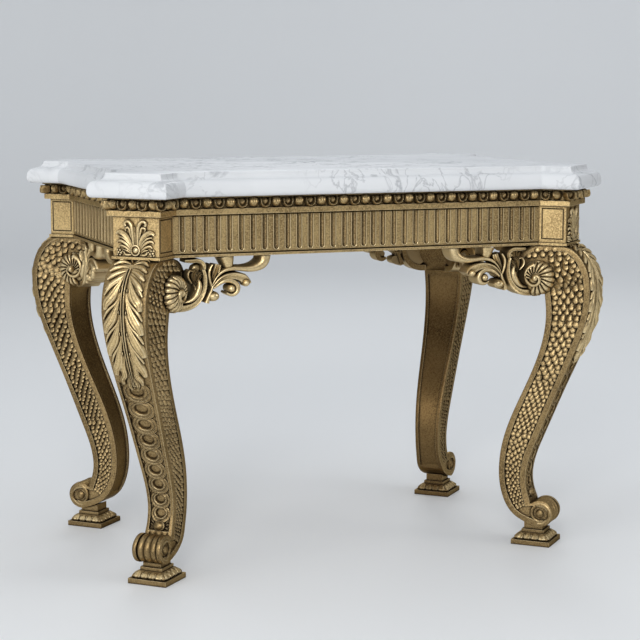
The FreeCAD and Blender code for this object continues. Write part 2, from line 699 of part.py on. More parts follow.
def make_guilloche():
    """Chain of overlapping rings with a button at its foot, lying in the front channel."""
    rings = []
    for share, height in ring_places():
        centre = FOOT_HEIGHT + share * LEG_HEIGHT
        half_across = half_width(share) - FRONT_BORDER - RING_CLEARANCE
        outer = ellipse_prism(half_across, height / 2, centre)
        inner = ellipse_prism(half_across - RING_BAND, height / 2 - RING_BAND, centre)
        rings.append(outer.cut(inner))
    chain = rings[0].multiFuse(rings[1:])
    layer = skin(outer_curve(), -FRONT_CHANNEL, 0, 0.604, 0.098)
    chain = chain.common(layer).common(front_silhouette(FRONT_BORDER))
    spot = curve_point_at(outer_curve(), 0.117)
    button = Part.makeSphere(BUTTON_RADIUS, spot - V(FRONT_CHANNEL, 0, 0))
    button = button.common(skin(outer_curve(), -FRONT_CHANNEL, 8, 0.25, 0.09))
    return one_solid(chain.fuse(button).removeSplitter())


def leaf_outline():
    """Lobed outline of the acanthus leaf, seen from the front, as an upright prism along u."""
    half = LEG_WIDTH_TOP / 2
    lobes = (
        ((0.86, 0.985), (0.96, 0.955), (0.84, 0.935)),
        ((0.84, 0.935), (0.98, 0.905), (0.80, 0.880)),
        ((0.80, 0.880), (0.97, 0.842), (0.74, 0.815)),
        ((0.74, 0.815), (0.90, 0.765), (0.62, 0.735)),
        ((0.62, 0.735), (0.72, 0.690), (0.44, 0.655)),
        ((0.44, 0.655), (0.46, 0.625), (0.0, 0.592)),
    )

    def spot(place, sign):
        across, share = place
        return V(-BEYOND, sign * across * half, FOOT_HEIGHT + share * LEG_HEIGHT)

    edges = []
    for sign in (1, -1):
        edges.append(line(spot((0, 1), sign), spot((0.80, 1), sign)))
        edges.append(line(spot((0.80, 1), sign), spot(lobes[0][0], sign)))
        for start, middle, end in lobes:
            edges.append(arc(spot(start, sign), spot(middle, sign), spot(end, sign)).toShape())
    wire = Part.Wire(Part.__sortEdges__(edges))
    return Part.Face(wire).extrude(V(2 * BEYOND, 0, 0))


def make_leaf():
    """Acanthus leaf that wraps the knee."""
    layer = skin(outer_curve(), 0, LEAF_THICKNESS, 0.996, 0.592)
    return one_solid(layer.common(leaf_outline()))


def blade(points, half_root, half_tip):
    """Flat tapering frond round a centre line in the plane of the post's face."""
    curve = spline([V(0, l * PALMETTE_WIDTH / 2, z * PALMETTE_HEIGHT) for l, z in points])
    left = []
    right = []
    for index in range(9):
        share = index / 8
        place = curve.FirstParameter + (curve.LastParameter - curve.FirstParameter) * share
        tangent = curve.tangent(place)[0]
        aside = V(0, -tangent.z, tangent.y)
        swell = half_root + (half_tip - half_root) * share + 1.2 * math.sin(math.pi * share)
        left.append(curve.value(place) + aside * swell)
        right.append(curve.value(place) - aside * swell)
    tangent = curve.tangent(curve.LastParameter)[0]
    tip = curve.value(curve.LastParameter) + tangent * half_tip
    return face_of(spline(left), arc(left[-1], tip, right[-1]), spline(list(reversed(right))),
                   line(right[0], left[0]))


def make_palmette():
    """Palmette on the outward face of the post; points are shares of its half width and height."""
    fronds = (
        ([(0.07, 0.11), (0.14, 0.47), (0.18, 0.76), (0.32, 0.92), (0.50, 0.83)], 3.0, 3.2),
        ([(0.14, 0.39), (0.27, 0.61), (0.45, 0.68)], 2.0, 1.8),
        ([(0.14, 0.14), (0.36, 0.44), (0.68, 0.61), (0.93, 0.58)], 3.0, 3.0),
        ([(0.16, 0.11), (0.45, 0.31), (0.73, 0.42), (0.93, 0.40)], 2.6, 2.4),
        ([(0.16, 0.06), (0.45, 0.17), (0.77, 0.20), (0.86, 0.11)], 2.6, 2.4),
        ([(0.14, 0.0), (0.41, 0.03), (0.59, -0.03), (0.75, 0.01)], 2.4, 4.2),
    )
    relief = V(PALMETTE_RELIEF, 0, 0)
    boss = V(0, 0, PALMETTE_BOSS / 2)
    stem_height = PALMETTE_HEIGHT * 0.55
    stem_width = PALMETTE_WIDTH * 0.1
    pieces = [Part.makeCylinder(PALMETTE_BOSS, PALMETTE_RELIEF, boss, V(1, 0, 0))]
    pieces.append(Part.makeBox(PALMETTE_RELIEF, stem_width, stem_height, boss - V(0, stem_width / 2, 0)))
    for points, half_root, half_tip in fronds:
        frond = blade(points, half_root, half_tip).extrude(relief)
        pieces.append(frond)
        pieces.append(frond.mirror(V(0, 0, 0), V(0, 1, 0)))
    palmette = pieces[0].multiFuse(pieces[1:])
    palmette.translate(V(POST_FACE, 0, FRAME_BOTTOM + PALMETTE_BASE))
    return one_solid(palmette.removeSplitter())


# ---------------------------------------------------------------- brackets
def bracket_point(along, drop):
    """Point of the bracket's front view, from the leg out to the tip and down from the apron.

    Both are shares, of the bracket's reach and of its drop.
    """
    return V(BRACKET_START + along * BRACKET_REACH, 0, FRAME_BOTTOM - drop * BRACKET_DROP)


def bracket_face():
    """Outline of the pierced scroll bracket, from the hooked tip to the side of the leg."""
    hook = [(1.0, 0.0), (0.996, 0.095), (0.953, 0.215), (0.896, 0.263), (0.783, 0.280)]
    middle_lobe = [(0.783, 0.280), (0.840, 0.353), (0.849, 0.422), (0.826, 0.509), (0.788, 0.530),
                   (0.736, 0.517), (0.695, 0.496)]
    lower_curl = [(0.695, 0.496), (0.696, 0.603), (0.662, 0.690), (0.618, 0.716), (0.567, 0.681),
                  (0.536, 0.597), (0.515, 0.534)]
    ball = [(0.444, 0.552), (0.487, 0.675), (0.425, 0.761), (0.356, 0.700)]
    belly = [(0.356, 0.700), (0.257, 0.818), (0.171, 0.852), (0.091, 0.897), (0.024, 0.983), (0.0, 1.0)]
    edges = [spline([bracket_point(*place) for place in run]) for run in (hook, middle_lobe, lower_curl)]
    edges.append(line(bracket_point(*lower_curl[-1]), bracket_point(*ball[0])))
    edges.append(spline([bracket_point(*place) for place in ball]))
    edges.append(spline([bracket_point(*place) for place in belly]))
    edges.append(line(bracket_point(*belly[-1]), bracket_point(0, 0)))
    seat_start = 0.0
    for near, far, depth in ((0.170, 0.264, 0.19), (0.378, 0.543, 0.134), (0.708, 0.849, 0.181)):
        edges.append(line(bracket_point(seat_start, 0), bracket_point(near, 0)))
        middle = (near + far) / 2
        edges.append(arc(bracket_point(near, 0), bracket_point(middle, depth), bracket_point(far, 0)))
        seat_start = far
    edges.append(line(bracket_point(seat_start, 0), bracket_point(1.0, 0)))
    return face_of(*edges)


def beyond_leg_side():
    """Everything on the bracket's side of the leg's side plane, in the corner frame."""
    return Part.makeBox(2 * BEYOND, BEYOND, TABLE_HEIGHT, V(-BEYOND, LEG_WIDTH_TOP / 2, 0))


def make_bracket():
    """Bracket under the long apron of the rear right corner, with the shell on the leg's side."""
    plate = bracket_face().extrude(V(0, -BRACKET_THICKNESS, 0))
    plate = plate.mirror(V(0, 0, 0), V(1, 0, 0))
    plate.translate(V(FRIEZE_HALF_LENGTH, FRIEZE_HALF_DEPTH - BRACKET_SETBACK, 0))
    plate = plate.common(to_corner(beyond_leg_side()))
    side = LEG_WIDTH_TOP / 2
    seat = V(ROSETTE_U, side, ROSETTE_Z)
    rim = ROSETTE_THICKNESS - ROSETTE_DOME
    outward = V(0, 1, 0)
    rim_seat = seat + outward * rim
    top_radius = ROSETTE_RADIUS * ROSETTE_TOP_SHARE
    rounding = Part.makeCone(ROSETTE_RADIUS, top_radius, ROSETTE_DOME, rim_seat, outward)
    disc = Part.makeCylinder(ROSETTE_RADIUS, rim, seat, outward).fuse(rounding)
    button = Part.makeCylinder(ROSETTE_BUTTON, ROSETTE_THICKNESS + ROSETTE_BUTTON_RISE, seat, outward)
    disc = to_corner(disc.fuse(button))
    return one_solid(plate.fuse(disc).removeSplitter())


def across_diagonal(shape):
    """Mirror image in the upright plane along the corner's diagonal."""
    return shape.mirror(V(FRIEZE_HALF_LENGTH, FRIEZE_HALF_DEPTH, 0), V(1, -1, 0) * (1 / ROOT2))


def save_brackets():
    long_bracket = make_bracket()
    side_bracket = across_diagonal(long_bracket)
    for corner, sx, sy in CORNERS:
        save("bracket_" + corner + "_long", mirrored(long_bracket, sx, sy))
        save("bracket_" + corner + "_side", mirrored(side_bracket, sx, sy))


# ---------------------------------------------------------------- feet
def foot_profile():
    """Half section of the foot, mirrored to a full one."""
    cushion_top = PLINTH_HEIGHT + CUSHION_HEIGHT
    collar_top = cushion_top + COLLAR_HEIGHT
    neck_top = FOOT_HEIGHT + NECK_OVERLAP
    half = PLINTH_SIZE / 2
    outline_points = [(half, 0), (half, PLINTH_HEIGHT), (CUSHION_HALF, PLINTH_HEIGHT)]
    edges = []
    for sign in (1, -1):
        stops = [V(sign * x, 0, z) for x, z in outline_points]
        edges.append(line(V(0, 0, 0), stops[0]))
        edges.append(line(stops[0], stops[1]))
        edges.append(line(stops[1], stops[2]))
        swell = [V(sign * CUSHION_HALF, 0, PLINTH_HEIGHT),
                 V(sign * (CUSHION_HALF + 1), 0, PLINTH_HEIGHT + CUSHION_HEIGHT * 0.35),
                 V(sign * (CUSHION_HALF + CUSHION_TOP_HALF) / 2, 0, PLINTH_HEIGHT + CUSHION_HEIGHT * 0.75),
                 V(sign * CUSHION_TOP_HALF, 0, cushion_top)]
        edges.append(spline(swell).toShape())
        upper = [V(sign * CUSHION_TOP_HALF, 0, cushion_top), V(sign * COLLAR_HALF, 0, cushion_top),
                 V(sign * COLLAR_HALF, 0, collar_top), V(sign * NECK_HALF, 0, collar_top),
                 V(sign * NECK_HALF, 0, neck_top), V(0, 0, neck_top)]
        for index in range(5):
            edges.append(line(upper[index], upper[index + 1]))
    return Part.Face(Part.Wire(Part.__sortEdges__(edges)))


def make_foot(leg):
    profile = foot_profile()
    profile.translate(V(0, -PLINTH_SIZE, 0))
    one_way = profile.extrude(V(0, 2 * PLINTH_SIZE, 0))
    other_way = one_way.copy()
    other_way.rotate(V(0, 0, 0), UP, 90)
    foot = one_way.common(other_way)
    foot.translate(V(FOOT_CENTRE, 0, 0))
    return one_solid(foot.cut([leg, foot_dowel()]))


# ---------------------------------------------------------------- build
save("marble_top", make_marble_top())
save("slab_pads", make_slab_pads())

long_apron = make_long_apron()
save("rear_apron", one_solid(long_apron))
save("front_apron", one_solid(mirrored(long_apron, 1, -1)))
short_apron = make_short_apron()
save("right_apron", one_solid(short_apron))
save("left_apron", one_solid(mirrored(short_apron, -1, 1)))
save("cross_rail_left", cross_rail(-1))
save("cross_rail_right", cross_rail(1))

save_corners("corner_post", make_post())
save_corners("corner_block", one_solid(make_corner_block()))
save("corner_block_screws", make_corner_screws())
save_cornice()

leg_shape = make_leg()
save_corners("leg", to_corner(leg_shape))
save_corners("acanthus_leaf", to_corner(make_leaf()))
save_corners("guilloche", to_corner(make_guilloche()))
save_corners("palmette", to_corner(make_palmette()))
save_brackets()
save_corners("foot", to_corner(make_foot(leg_shape)))

dowel = to_corner(leg_dowel())
save("leg_dowels", Part.makeCompound([mirrored(dowel, sx, sy) for corner, sx, sy in CORNERS]))
peg = to_corner(foot_dowel())
save("foot_dowels", Part.makeCompound([mirrored(peg, sx, sy) for corner, sx, sy in CORNERS]))
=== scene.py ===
# %% [markdown]
# # A gilded pier table with a marble top
#
# The table is a carved and gilded wooden frame that carries a loose slab of white veined marble.
# Its construction arrives as a fixed frame of solids, and this notebook dresses it: it replaces the
# plain carved parts by finely modelled ones, and gives every piece its finish.

# %% Load the frame
import math

import bmesh
import bpy
import numpy as np
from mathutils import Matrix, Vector


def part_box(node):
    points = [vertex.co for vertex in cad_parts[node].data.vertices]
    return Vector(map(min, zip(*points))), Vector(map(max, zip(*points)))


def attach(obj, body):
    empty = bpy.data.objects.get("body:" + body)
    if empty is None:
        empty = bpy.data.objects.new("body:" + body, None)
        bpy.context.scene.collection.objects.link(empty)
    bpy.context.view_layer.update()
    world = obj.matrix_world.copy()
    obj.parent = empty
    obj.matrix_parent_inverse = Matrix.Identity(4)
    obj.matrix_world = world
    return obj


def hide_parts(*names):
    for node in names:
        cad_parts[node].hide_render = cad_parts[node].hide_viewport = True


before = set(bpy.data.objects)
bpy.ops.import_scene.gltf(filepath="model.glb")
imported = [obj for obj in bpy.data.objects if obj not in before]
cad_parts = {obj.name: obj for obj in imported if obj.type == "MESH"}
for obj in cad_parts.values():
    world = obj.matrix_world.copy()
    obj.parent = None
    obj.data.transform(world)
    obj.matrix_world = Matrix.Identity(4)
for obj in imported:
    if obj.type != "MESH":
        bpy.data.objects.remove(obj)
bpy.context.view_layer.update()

print("solids in the frame:", len(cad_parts))

# %% [markdown]
# ## Measures taken from the frame
#
# Everything below is worked out in millimetres, since that is how a carver would speak of it, and
# turned into metres only when a mesh is made. The sizes come from the boxes of the solids, so a
# carved piece always fits the solid it sits on.

# %% Read the main sizes
MM = 0.001


def low(node):
    return np.array(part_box(node)[0]) / MM


def high(node):
    return np.array(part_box(node)[1]) / MM


BEAD = 3.0  # the bead along the foot of aprons and posts stands out this far
A = high("right_apron")[0] - BEAD
B = high("rear_apron")[1] - BEAD
FRAME_BOTTOM = low("corner_post_rear_right")[2]
FRAME_TOP = high("corner_post_rear_right")[2]
SCROLL_FOOT = low("leg_rear_right")[2]
LEG_HEIGHT = FRAME_BOTTOM - SCROLL_FOOT
SLAB_BOTTOM = low("marble_top")[2]
SLAB_TOP = high("marble_top")[2]
ROOT2 = math.sqrt(2)
HALF_POST = 52.0
POST_FACE = (high("corner_post_rear_right")[0] - BEAD / ROOT2 * 2 - A) * ROOT2 - HALF_POST
LEG_HALF_TOP = 50.0
CORNERS = (("front_left", -1, -1), ("front_right", 1, -1), ("rear_left", -1, 1), ("rear_right", 1, 1))
print("frieze half length and depth", round(A, 1), round(B, 1), "post face", round(POST_FACE, 2))

# %% [markdown]
# ## Viewpoint
#
# A long lens from a standing eye height, turned a little to the right of the table's front left
# corner, shows the front, the left end and the slab's top at once.

# %% Place the camera
camera_data = bpy.data.cameras.new("camera")
camera_data.sensor_width = 36.0
camera_data.lens = 101.53
camera_data.clip_end = 100.0
camera = bpy.data.objects.new("camera", camera_data)
camera.location = (-1.4615, -3.7907, 1.0386)
camera.rotation_euler = (math.radians(90 - 7.65), math.radians(-0.08), math.radians(-21.37))
bpy.context.scene.collection.objects.link(camera)
bpy.context.scene.camera = camera
print("camera distance", round(camera.location.length, 2), "m")

# %% [markdown]
# ## Shapes made of points
#
# Every carved piece is built from a few kinds of closed skin: a sheet with a top and an underside, a
# swept blade, a dome and a turned disc. Each is a grid of points, so it is easy to bend over a curved
# knee or lay on a flat post. A skin is kept as its points and its faces until the piece is finished.

# %% Smooth lines through a few points
def distances(points):
    """Distance of each point from the first one, measured along the line."""
    return np.concatenate([[0], np.cumsum(np.linalg.norm(np.diff(points, axis=0), axis=1))])


def smooth_line(points, count):
    """Evenly spaced points on the natural cubic spline through a few given points."""
    points = np.array(points, float)
    knots = distances(points)
    steps = np.diff(knots)
    size = len(points)
    system = np.eye(size)
    for i in range(1, size - 1):
        system[i, i - 1:i + 2] = steps[i - 1], 2 * (steps[i - 1] + steps[i]), steps[i]
    pull = np.zeros_like(points)
    pull[1:-1] = 6 * np.diff(np.diff(points, axis=0) / steps[:, None], axis=0)
    bend = np.linalg.solve(system, pull)
    places = np.linspace(0, knots[-1], count)
    span = np.clip(np.searchsorted(knots, places) - 1, 0, size - 2)
    width = steps[span][:, None]
    after = (places - knots[span])[:, None]
    before = width - after
    curved = (bend[span] * before ** 3 + bend[span + 1] * after ** 3) / (6 * width)
    straight = (points[span] / width - bend[span] * width / 6) * before
    return curved + straight + (points[span + 1] / width - bend[span + 1] * width / 6) * after


def unit(vectors):
    return vectors / np.maximum(np.linalg.norm(vectors, axis=-1, keepdims=True), 1e-9)


def normals(line):
    """Unit vectors square to a line in its plane, on the left of its run."""
    ahead = unit(np.gradient(line, axis=0))
    return np.stack([-ahead[:, 1], ahead[:, 0]], -1)


def profile(values, places):
    """Values at places from 0 to 1 on the run through evenly spaced values."""
    return np.interp(places, np.linspace(0, 1, len(values)), values)


def ramp(value, start, end):
    """0 before start, 1 after end, and a soft step between them."""
    t = np.clip((value - start) / (end - start), 0, 1)
    return t * t * (3 - 2 * t)

# %% Skins over a grid of points
def sheet(grid):
    """Open skin of quads over a grid of points."""
    rows, cols = grid.shape[:2]
    index = np.arange(rows * cols).reshape(rows, cols)
    faces = np.stack([index[:-1, :-1], index[:-1, 1:], index[1:, 1:], index[1:, :-1]], -1).reshape(-1, 4)
    return grid.reshape(-1, 3), faces


def closed_sheet(top, under):
    """Closed skin between two grids of points of the same shape."""
    points, upper = sheet(top)
    total = len(points)
    index = np.arange(total).reshape(top.shape[:2])
    rim = np.concatenate([index[0, :-1], index[:-1, -1], index[-1, :0:-1], index[:0:-1, 0]])
    following = np.roll(rim, -1)
    side = np.stack([following, rim, rim + total, following + total], -1)
    faces = np.concatenate([upper, upper[:, ::-1] + total, side])
    return np.concatenate([points, under.reshape(-1, 3)]), faces


def raised(place, a, b, rise, under):
    """Closed skin on a surface, from a flat underside up to the rise of each point.

    place turns (a, b, rise) into a point, here and in all that follows."""
    return closed_sheet(place(a, b, rise), place(a, b, np.full_like(rise, under)))


def closed_ring(sections):
    """Closed skin of rings that join round; sections is rings x points x 3."""
    index = np.arange(sections.shape[0] * sections.shape[1]).reshape(sections.shape[:2])
    beside = np.roll(index, -1, axis=1)
    faces = np.stack([index, beside, np.roll(beside, -1, axis=0), np.roll(index, -1, axis=0)], -1)
    return sections.reshape(-1, 3), faces.reshape(-1, 4)


def turned(section, a, b, place, squash=1.0, sides=32):
    """Closed skin turned about an axis at (a, b) of a surface; section is a list of (radius, rise)."""
    turn = np.linspace(0, 2 * np.pi, sides, endpoint=False)
    radius, rise = np.array(section, float).T[..., None]
    return closed_ring(place(a + radius * np.cos(turn), b + squash * radius * np.sin(turn), rise + 0 * turn))

# %% Sections of a carved blade, across from -1 to 1
def round_section(t):
    return np.sqrt(np.clip(1 - t * t, 0, 1))


def leaf_section(t):
    """Blade with a hollow on each side of its midrib and rolled edges."""
    edge = np.clip(1 - np.abs(t) ** 5, 0, 1)
    return edge * (0.62 + 0.38 * np.cos(2 * np.pi * t) * np.where(np.abs(t) < 0.5, 1, 0.55))


def hollow_section(t):
    """Blade scooped along its middle, with two rounded borders."""
    return np.clip(1 - np.abs(t) ** 6, 0, 1) * (0.45 + 0.55 * np.abs(t) ** 1.5)


def reeded_section(t):
    """Blade of three rounded reeds."""
    return np.clip(1 - np.abs(t) ** 5, 0, 1) * (0.74 + 0.26 * np.abs(np.cos(1.5 * np.pi * t)))


# %% Blades and domes
def swept(line, width, crown, t, place, section, base, sink):
    """Blade through every point of a line on a surface; t are its places across, from -1 to 1."""
    flat = line[:, None] + normals(line)[:, None] * (width[:, None] * t[None])[..., None]
    rise = base + crown[:, None] * section(t)[None]
    return raised(place, flat[..., 0], flat[..., 1], rise, base - sink)


def blade(line, half_width, height, place, section=round_section, along=16, across=9, base=0.0, sink=1.0):
    """Carved blade along a smooth line; half_width and height are runs of values from root to tip."""
    share = np.linspace(0, 1, along)
    t = np.sin(np.linspace(-np.pi / 2, np.pi / 2, across))
    return swept(smooth_line(line, along), profile(half_width, share), profile(height, share), t, place,
                 section, base, sink)


def dome(a, b, half_a, half_b, height, place, base=0.0, sink=1.0, rings=6, sides=16, power=0.5):
    """Closed dome on a surface, oval in plan."""
    turn = np.linspace(0, 2 * np.pi, sides, endpoint=False)
    reach = np.sin(np.linspace(0.02, np.pi / 2, rings))
    grid_a = a + half_a * reach[:, None] * np.cos(turn)[None]
    grid_b = b + half_b * reach[:, None] * np.sin(turn)[None]
    rise = base + height * (1 - reach[:, None] ** 2 + 0 * turn[None]) ** power
    under = np.full((1, sides), base - sink)
    return closed_ring(np.concatenate([place(grid_a, grid_b, rise), place(grid_a[-1:], grid_b[-1:], under),
                                       place(grid_a[:1], grid_b[:1], under)]))

# %% Turn skins into a piece
def merge(skins):
    """Several skins as one: all their points, and their faces renumbered."""
    points = []
    faces = []
    total = 0
    for skin_points, skin_faces in skins:
        skin_faces = skin_faces.tolist() if isinstance(skin_faces, np.ndarray) else skin_faces
        points.append(skin_points)
        faces += [[corner + total for corner in face] for face in skin_faces]
        total += len(skin_points)
    return np.concatenate(points), faces


def make_piece(name, skins, material, nodes=(), crease=38):
    """One finished object from skins given in millimetres in the table's frame."""
    points, faces = merge(skins)
    mesh = bpy.data.meshes.new(name)
    mesh.from_pydata((points * MM).tolist(), [], faces)
    work = bmesh.new()
    work.from_mesh(mesh)
    bmesh.ops.remove_doubles(work, verts=work.verts, dist=2e-6)
    bmesh.ops.dissolve_degenerate(work, edges=work.edges, dist=1e-6)
    bmesh.ops.recalc_face_normals(work, faces=work.faces)
    work.to_mesh(mesh)
    work.free()
    mesh.polygons.foreach_set("use_smooth", [True] * len(mesh.polygons))
    mesh.set_sharp_from_angle(angle=math.radians(crease))
    mesh.materials.append(material)
    piece = bpy.data.objects.new(name, mesh)
    bpy.context.scene.collection.objects.link(piece)
    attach(piece, "root")
    if nodes:
        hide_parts(*nodes)
    return piece


def to_corner(points, sx, sy):
    """Points (u, l, z) of the corner frame, moved to one corner of the frieze."""
    u, l, z = points[..., 0], points[..., 1], points[..., 2]
    return np.stack([sx * (A + (u - l) / ROOT2), sy * (B + (u + l) / ROOT2), z], -1)


def make_at_corners(prefix, skins, material, node=None, suffix=""):
    """The same piece at all four corners.

    node is the first part of the name of the solid it replaces, and suffix ends both names."""
    points, faces = merge(skins)
    for corner, sx, sy in CORNERS:
        ending = "_" + corner + suffix
        replaced = [node + ending] if node else []
        make_piece(prefix + ending, [(to_corner(points, sx, sy), faces)], material, replaced)
    print(prefix + suffix, "faces each:", len(faces))


def mirrored(skins):
    """Mirror images of skins in the corner frame, across the diagonal."""
    return [(points * np.array([1, -1, 1]), np.array(faces)[:, ::-1]) for points, faces in skins]


def both_sides(skins):
    return list(skins) + mirrored(skins)

# %% [markdown]
# ## Gilding
#
# Old gilding is never one colour. Leaf gold over a brown ground is bright on the arrises, where hands
# and dusters wear it, and a painted highlight is laid there too. It is dark in the hollows, partly from
# wax and dust and partly as painted shade, which also darkens the ground under the cornice and the slab.
# Faces that look under the table get painted shade as well. Ambient occlusion finds the hollows. A
# rounded copy of the surface normal, or the pointiness of a dense mesh, finds the arrises. Noise of five
# sizes breaks everything up, and a fine bump gives the slightly sandy ground that carvers leave between
# the ornaments.

# %% Small helpers for materials
def connect(tree, value, socket):
    """Give a socket a number, a colour or the output of another node."""
    if isinstance(value, (int, float)):
        socket.default_value = value
    elif isinstance(value, tuple):
        socket.default_value = value if len(socket.default_value) == 3 else (*value, 1.0)
    else:
        tree.links.new(value, socket)


def fill(tree, node, sockets):
    """Connect the sockets of a node that are listed by name or number."""
    for socket, value in sockets.items():
        connect(tree, value, node.inputs[socket])


def add_node(tree, kind, sockets, **settings):
    """Node of a kind with its sockets filled; the settings are properties of the node itself."""
    node = tree.nodes.new("ShaderNode" + kind)
    for setting, value in settings.items():
        setattr(node, setting, value)
    fill(tree, node, sockets)
    return node


def new_material(name):
    material = bpy.data.materials.new(name)
    material.use_nodes = True
    tree = material.node_tree
    tree.nodes.clear()
    shader = add_node(tree, "BsdfPrincipled", {})
    add_node(tree, "OutputMaterial", {"Surface": shader.outputs["BSDF"]})
    return material, tree, shader


def table_place(tree):
    """Coordinates of the table itself, in metres."""
    return add_node(tree, "TexCoord", {}).outputs["Object"]


def noise(tree, scale, detail=3.0, distortion=0.0, stretch=None):
    """Noise in the table's own coordinates; stretch squeezes it along an axis."""
    place = table_place(tree)
    if stretch:
        place = add_node(tree, "Mapping", {"Vector": place, "Scale": stretch}).outputs["Vector"]
    sockets = {"Vector": place, "Scale": scale, "Detail": detail, "Distortion": distortion}
    return add_node(tree, "TexNoise", sockets).outputs["Fac"]


def spread(tree, source, low_in, high_in, low_out=0.0, high_out=1.0):
    """Values from low_in to high_in, moved to the range from low_out to high_out."""
    sockets = {"Value": source, "From Min": low_in, "From Max": high_in,
               "To Min": low_out, "To Max": high_out}
    return add_node(tree, "MapRange", sockets).outputs["Result"]


def blend(tree, factor, first, second, mode="MIX"):
    """Mix two colours; each may be a fixed colour or the output of a node."""
    sockets = {0: factor, 6: first, 7: second}
    return add_node(tree, "Mix", sockets, data_type="RGBA", blend_type=mode).outputs[2]


def calculate(tree, operation, first, second):
    """One step of arithmetic, kept between 0 and 1."""
    return add_node(tree, "Math", {0: first, 1: second}, operation=operation, use_clamp=True).outputs[0]


def combine(tree, operation, first, second):
    """One step of vector arithmetic; a dot product gives a number."""
    node = add_node(tree, "VectorMath", {0: first, 1: second}, operation=operation)
    return node.outputs["Value" if operation == "DOT_PRODUCT" else "Vector"]


def roughen(tree, shader, source, strength, depth, normal=None):
    """Fine relief on the surface, depth in metres."""
    sockets = {"Height": source, "Strength": strength, "Distance": depth}
    if normal is not None:
        sockets["Normal"] = normal
    fill(tree, shader, {"Normal": add_node(tree, "Bump", sockets).outputs["Normal"]})


def hollow(tree, distance, low_in, high_in):
    """1 deep in a hollow, 0 on open surfaces."""
    occlusion = add_node(tree, "AmbientOcclusion", {"Distance": distance}, samples=6)
    return spread(tree, occlusion.outputs["AO"], high_in, low_in)

# %% Where gilding gets wear and a painted highlight, or painted shade
def inward_shade_mask(tree, normal):
    """1 on faces that look towards the middle of the table, 0 on those that look outwards or sideways."""
    corner = combine(tree, "SIGN", table_place(tree), (0.0, 0.0, 0.0))
    inwards = combine(tree, "MULTIPLY", corner, (-0.7071, -0.7071, 0.0))
    return spread(tree, combine(tree, "DOT_PRODUCT", inwards, normal), 0.15, 0.7)


def arris_wear_and_highlight(tree, geometry, rounding):
    """1 on the arrises, where wear and a painted highlight go, with the rounded normal; rounding is their
    width in metres.

    Where rounding is 0 the pointiness of the mesh is used, which suits dense carving."""
    if not rounding:
        return spread(tree, geometry.outputs["Pointiness"], 0.515, 0.57, 0.0, 0.85), None
    normal = add_node(tree, "Bevel", {"Radius": rounding}, samples=4).outputs["Normal"]
    change = combine(tree, "DOT_PRODUCT", normal, geometry.outputs["Normal"])
    return spread(tree, change, 0.995, 0.93, 0.0, 0.80), normal


# %% Gilded wood in five degrees of polish
# Dark brown used for the grime specks and for the painted shade in the hollows.
GRIME_AND_PAINTED_SHADE = (0.016, 0.010, 0.007)
# Light gold of worn arrises, which is also a painted highlight on them.
WEAR_AND_HIGHLIGHT_GOLD = (0.86, 0.70, 0.42)


def gilt(name, light, mid, grain, roughness, hollow_grime_and_shade, rounding=0.0):
    """Gold from mid to light; grain is the specks' strength, hollow_grime_and_shade the hollows' grime and
    painted shade.
    """
    material, tree, shader = new_material(name)

    def specks(scale, detail, distortion, low_in, high_in, most=1.0):
        return spread(tree, noise(tree, scale, detail, distortion), low_in, high_in, 0.0, most)

    gold = blend(tree, specks(9.0, 4.0, 0.4, 0.35, 0.65), mid, light)
    patch = calculate(tree, "MULTIPLY", specks(150.0, 3.0, 0.3, 0.42, 0.60, 0.5), grain)
    gold = blend(tree, patch, gold, mid)
    gold = blend(tree, specks(330.0, 2.0, 0.4, 0.46, 0.58, grain), gold, (0.60, 0.52, 0.50), "MULTIPLY")
    dirt = calculate(tree, "MULTIPLY", specks(430.0, 2.0, 0.0, 0.52, 0.68), grain)
    gold = blend(tree, dirt, gold, GRIME_AND_PAINTED_SHADE)
    gold = blend(tree, specks(270.0, 3.0, 0.2, 0.49, 0.58, 0.75), gold, light)

    # Grime and painted shade in the hollows: near darkens the creases, and wide darkens the ground under the
    # cornice, the slab and the carving.
    near = hollow(tree, 0.006, 0.52, 0.92)
    wide = hollow(tree, 0.045, 0.14, 0.62)
    shade = calculate(tree, "MULTIPLY", near, hollow_grime_and_shade)
    shade = calculate(tree, "MAXIMUM", shade, calculate(tree, "MULTIPLY", wide, 0.8 * hollow_grime_and_shade))
    geometry = add_node(tree, "NewGeometry", {})
    arris, normal = arris_wear_and_highlight(tree, geometry, rounding)
    # Wear and painted highlight on the open arrises, kept out of the creases.
    open_arris_highlight = calculate(tree, "MULTIPLY", arris, spread(tree, near, 0.0, 0.6, 1.0, 0.0))
    gold = blend(tree, open_arris_highlight, gold, WEAR_AND_HIGHLIGHT_GOLD)
    # Painted shade: faces that look under the table are multiplied darker.
    inward_painted_shade = inward_shade_mask(tree, geometry.outputs["Normal"])
    gold = blend(tree, inward_painted_shade, gold, (0.55, 0.50, 0.44), "MULTIPLY")
    gold = blend(tree, shade, gold, GRIME_AND_PAINTED_SHADE)

    fill(tree, shader, {"Base Color": gold, "Metallic": 0.86, "Specular Tint": (0.42, 0.37, 0.30),
                        "Roughness": spread(tree, shade, 0.0, 1.0, roughness, 0.72)})
    roughen(tree, shader, noise(tree, 650.0, 3.0), 0.35, 0.0006, normal)
    return material


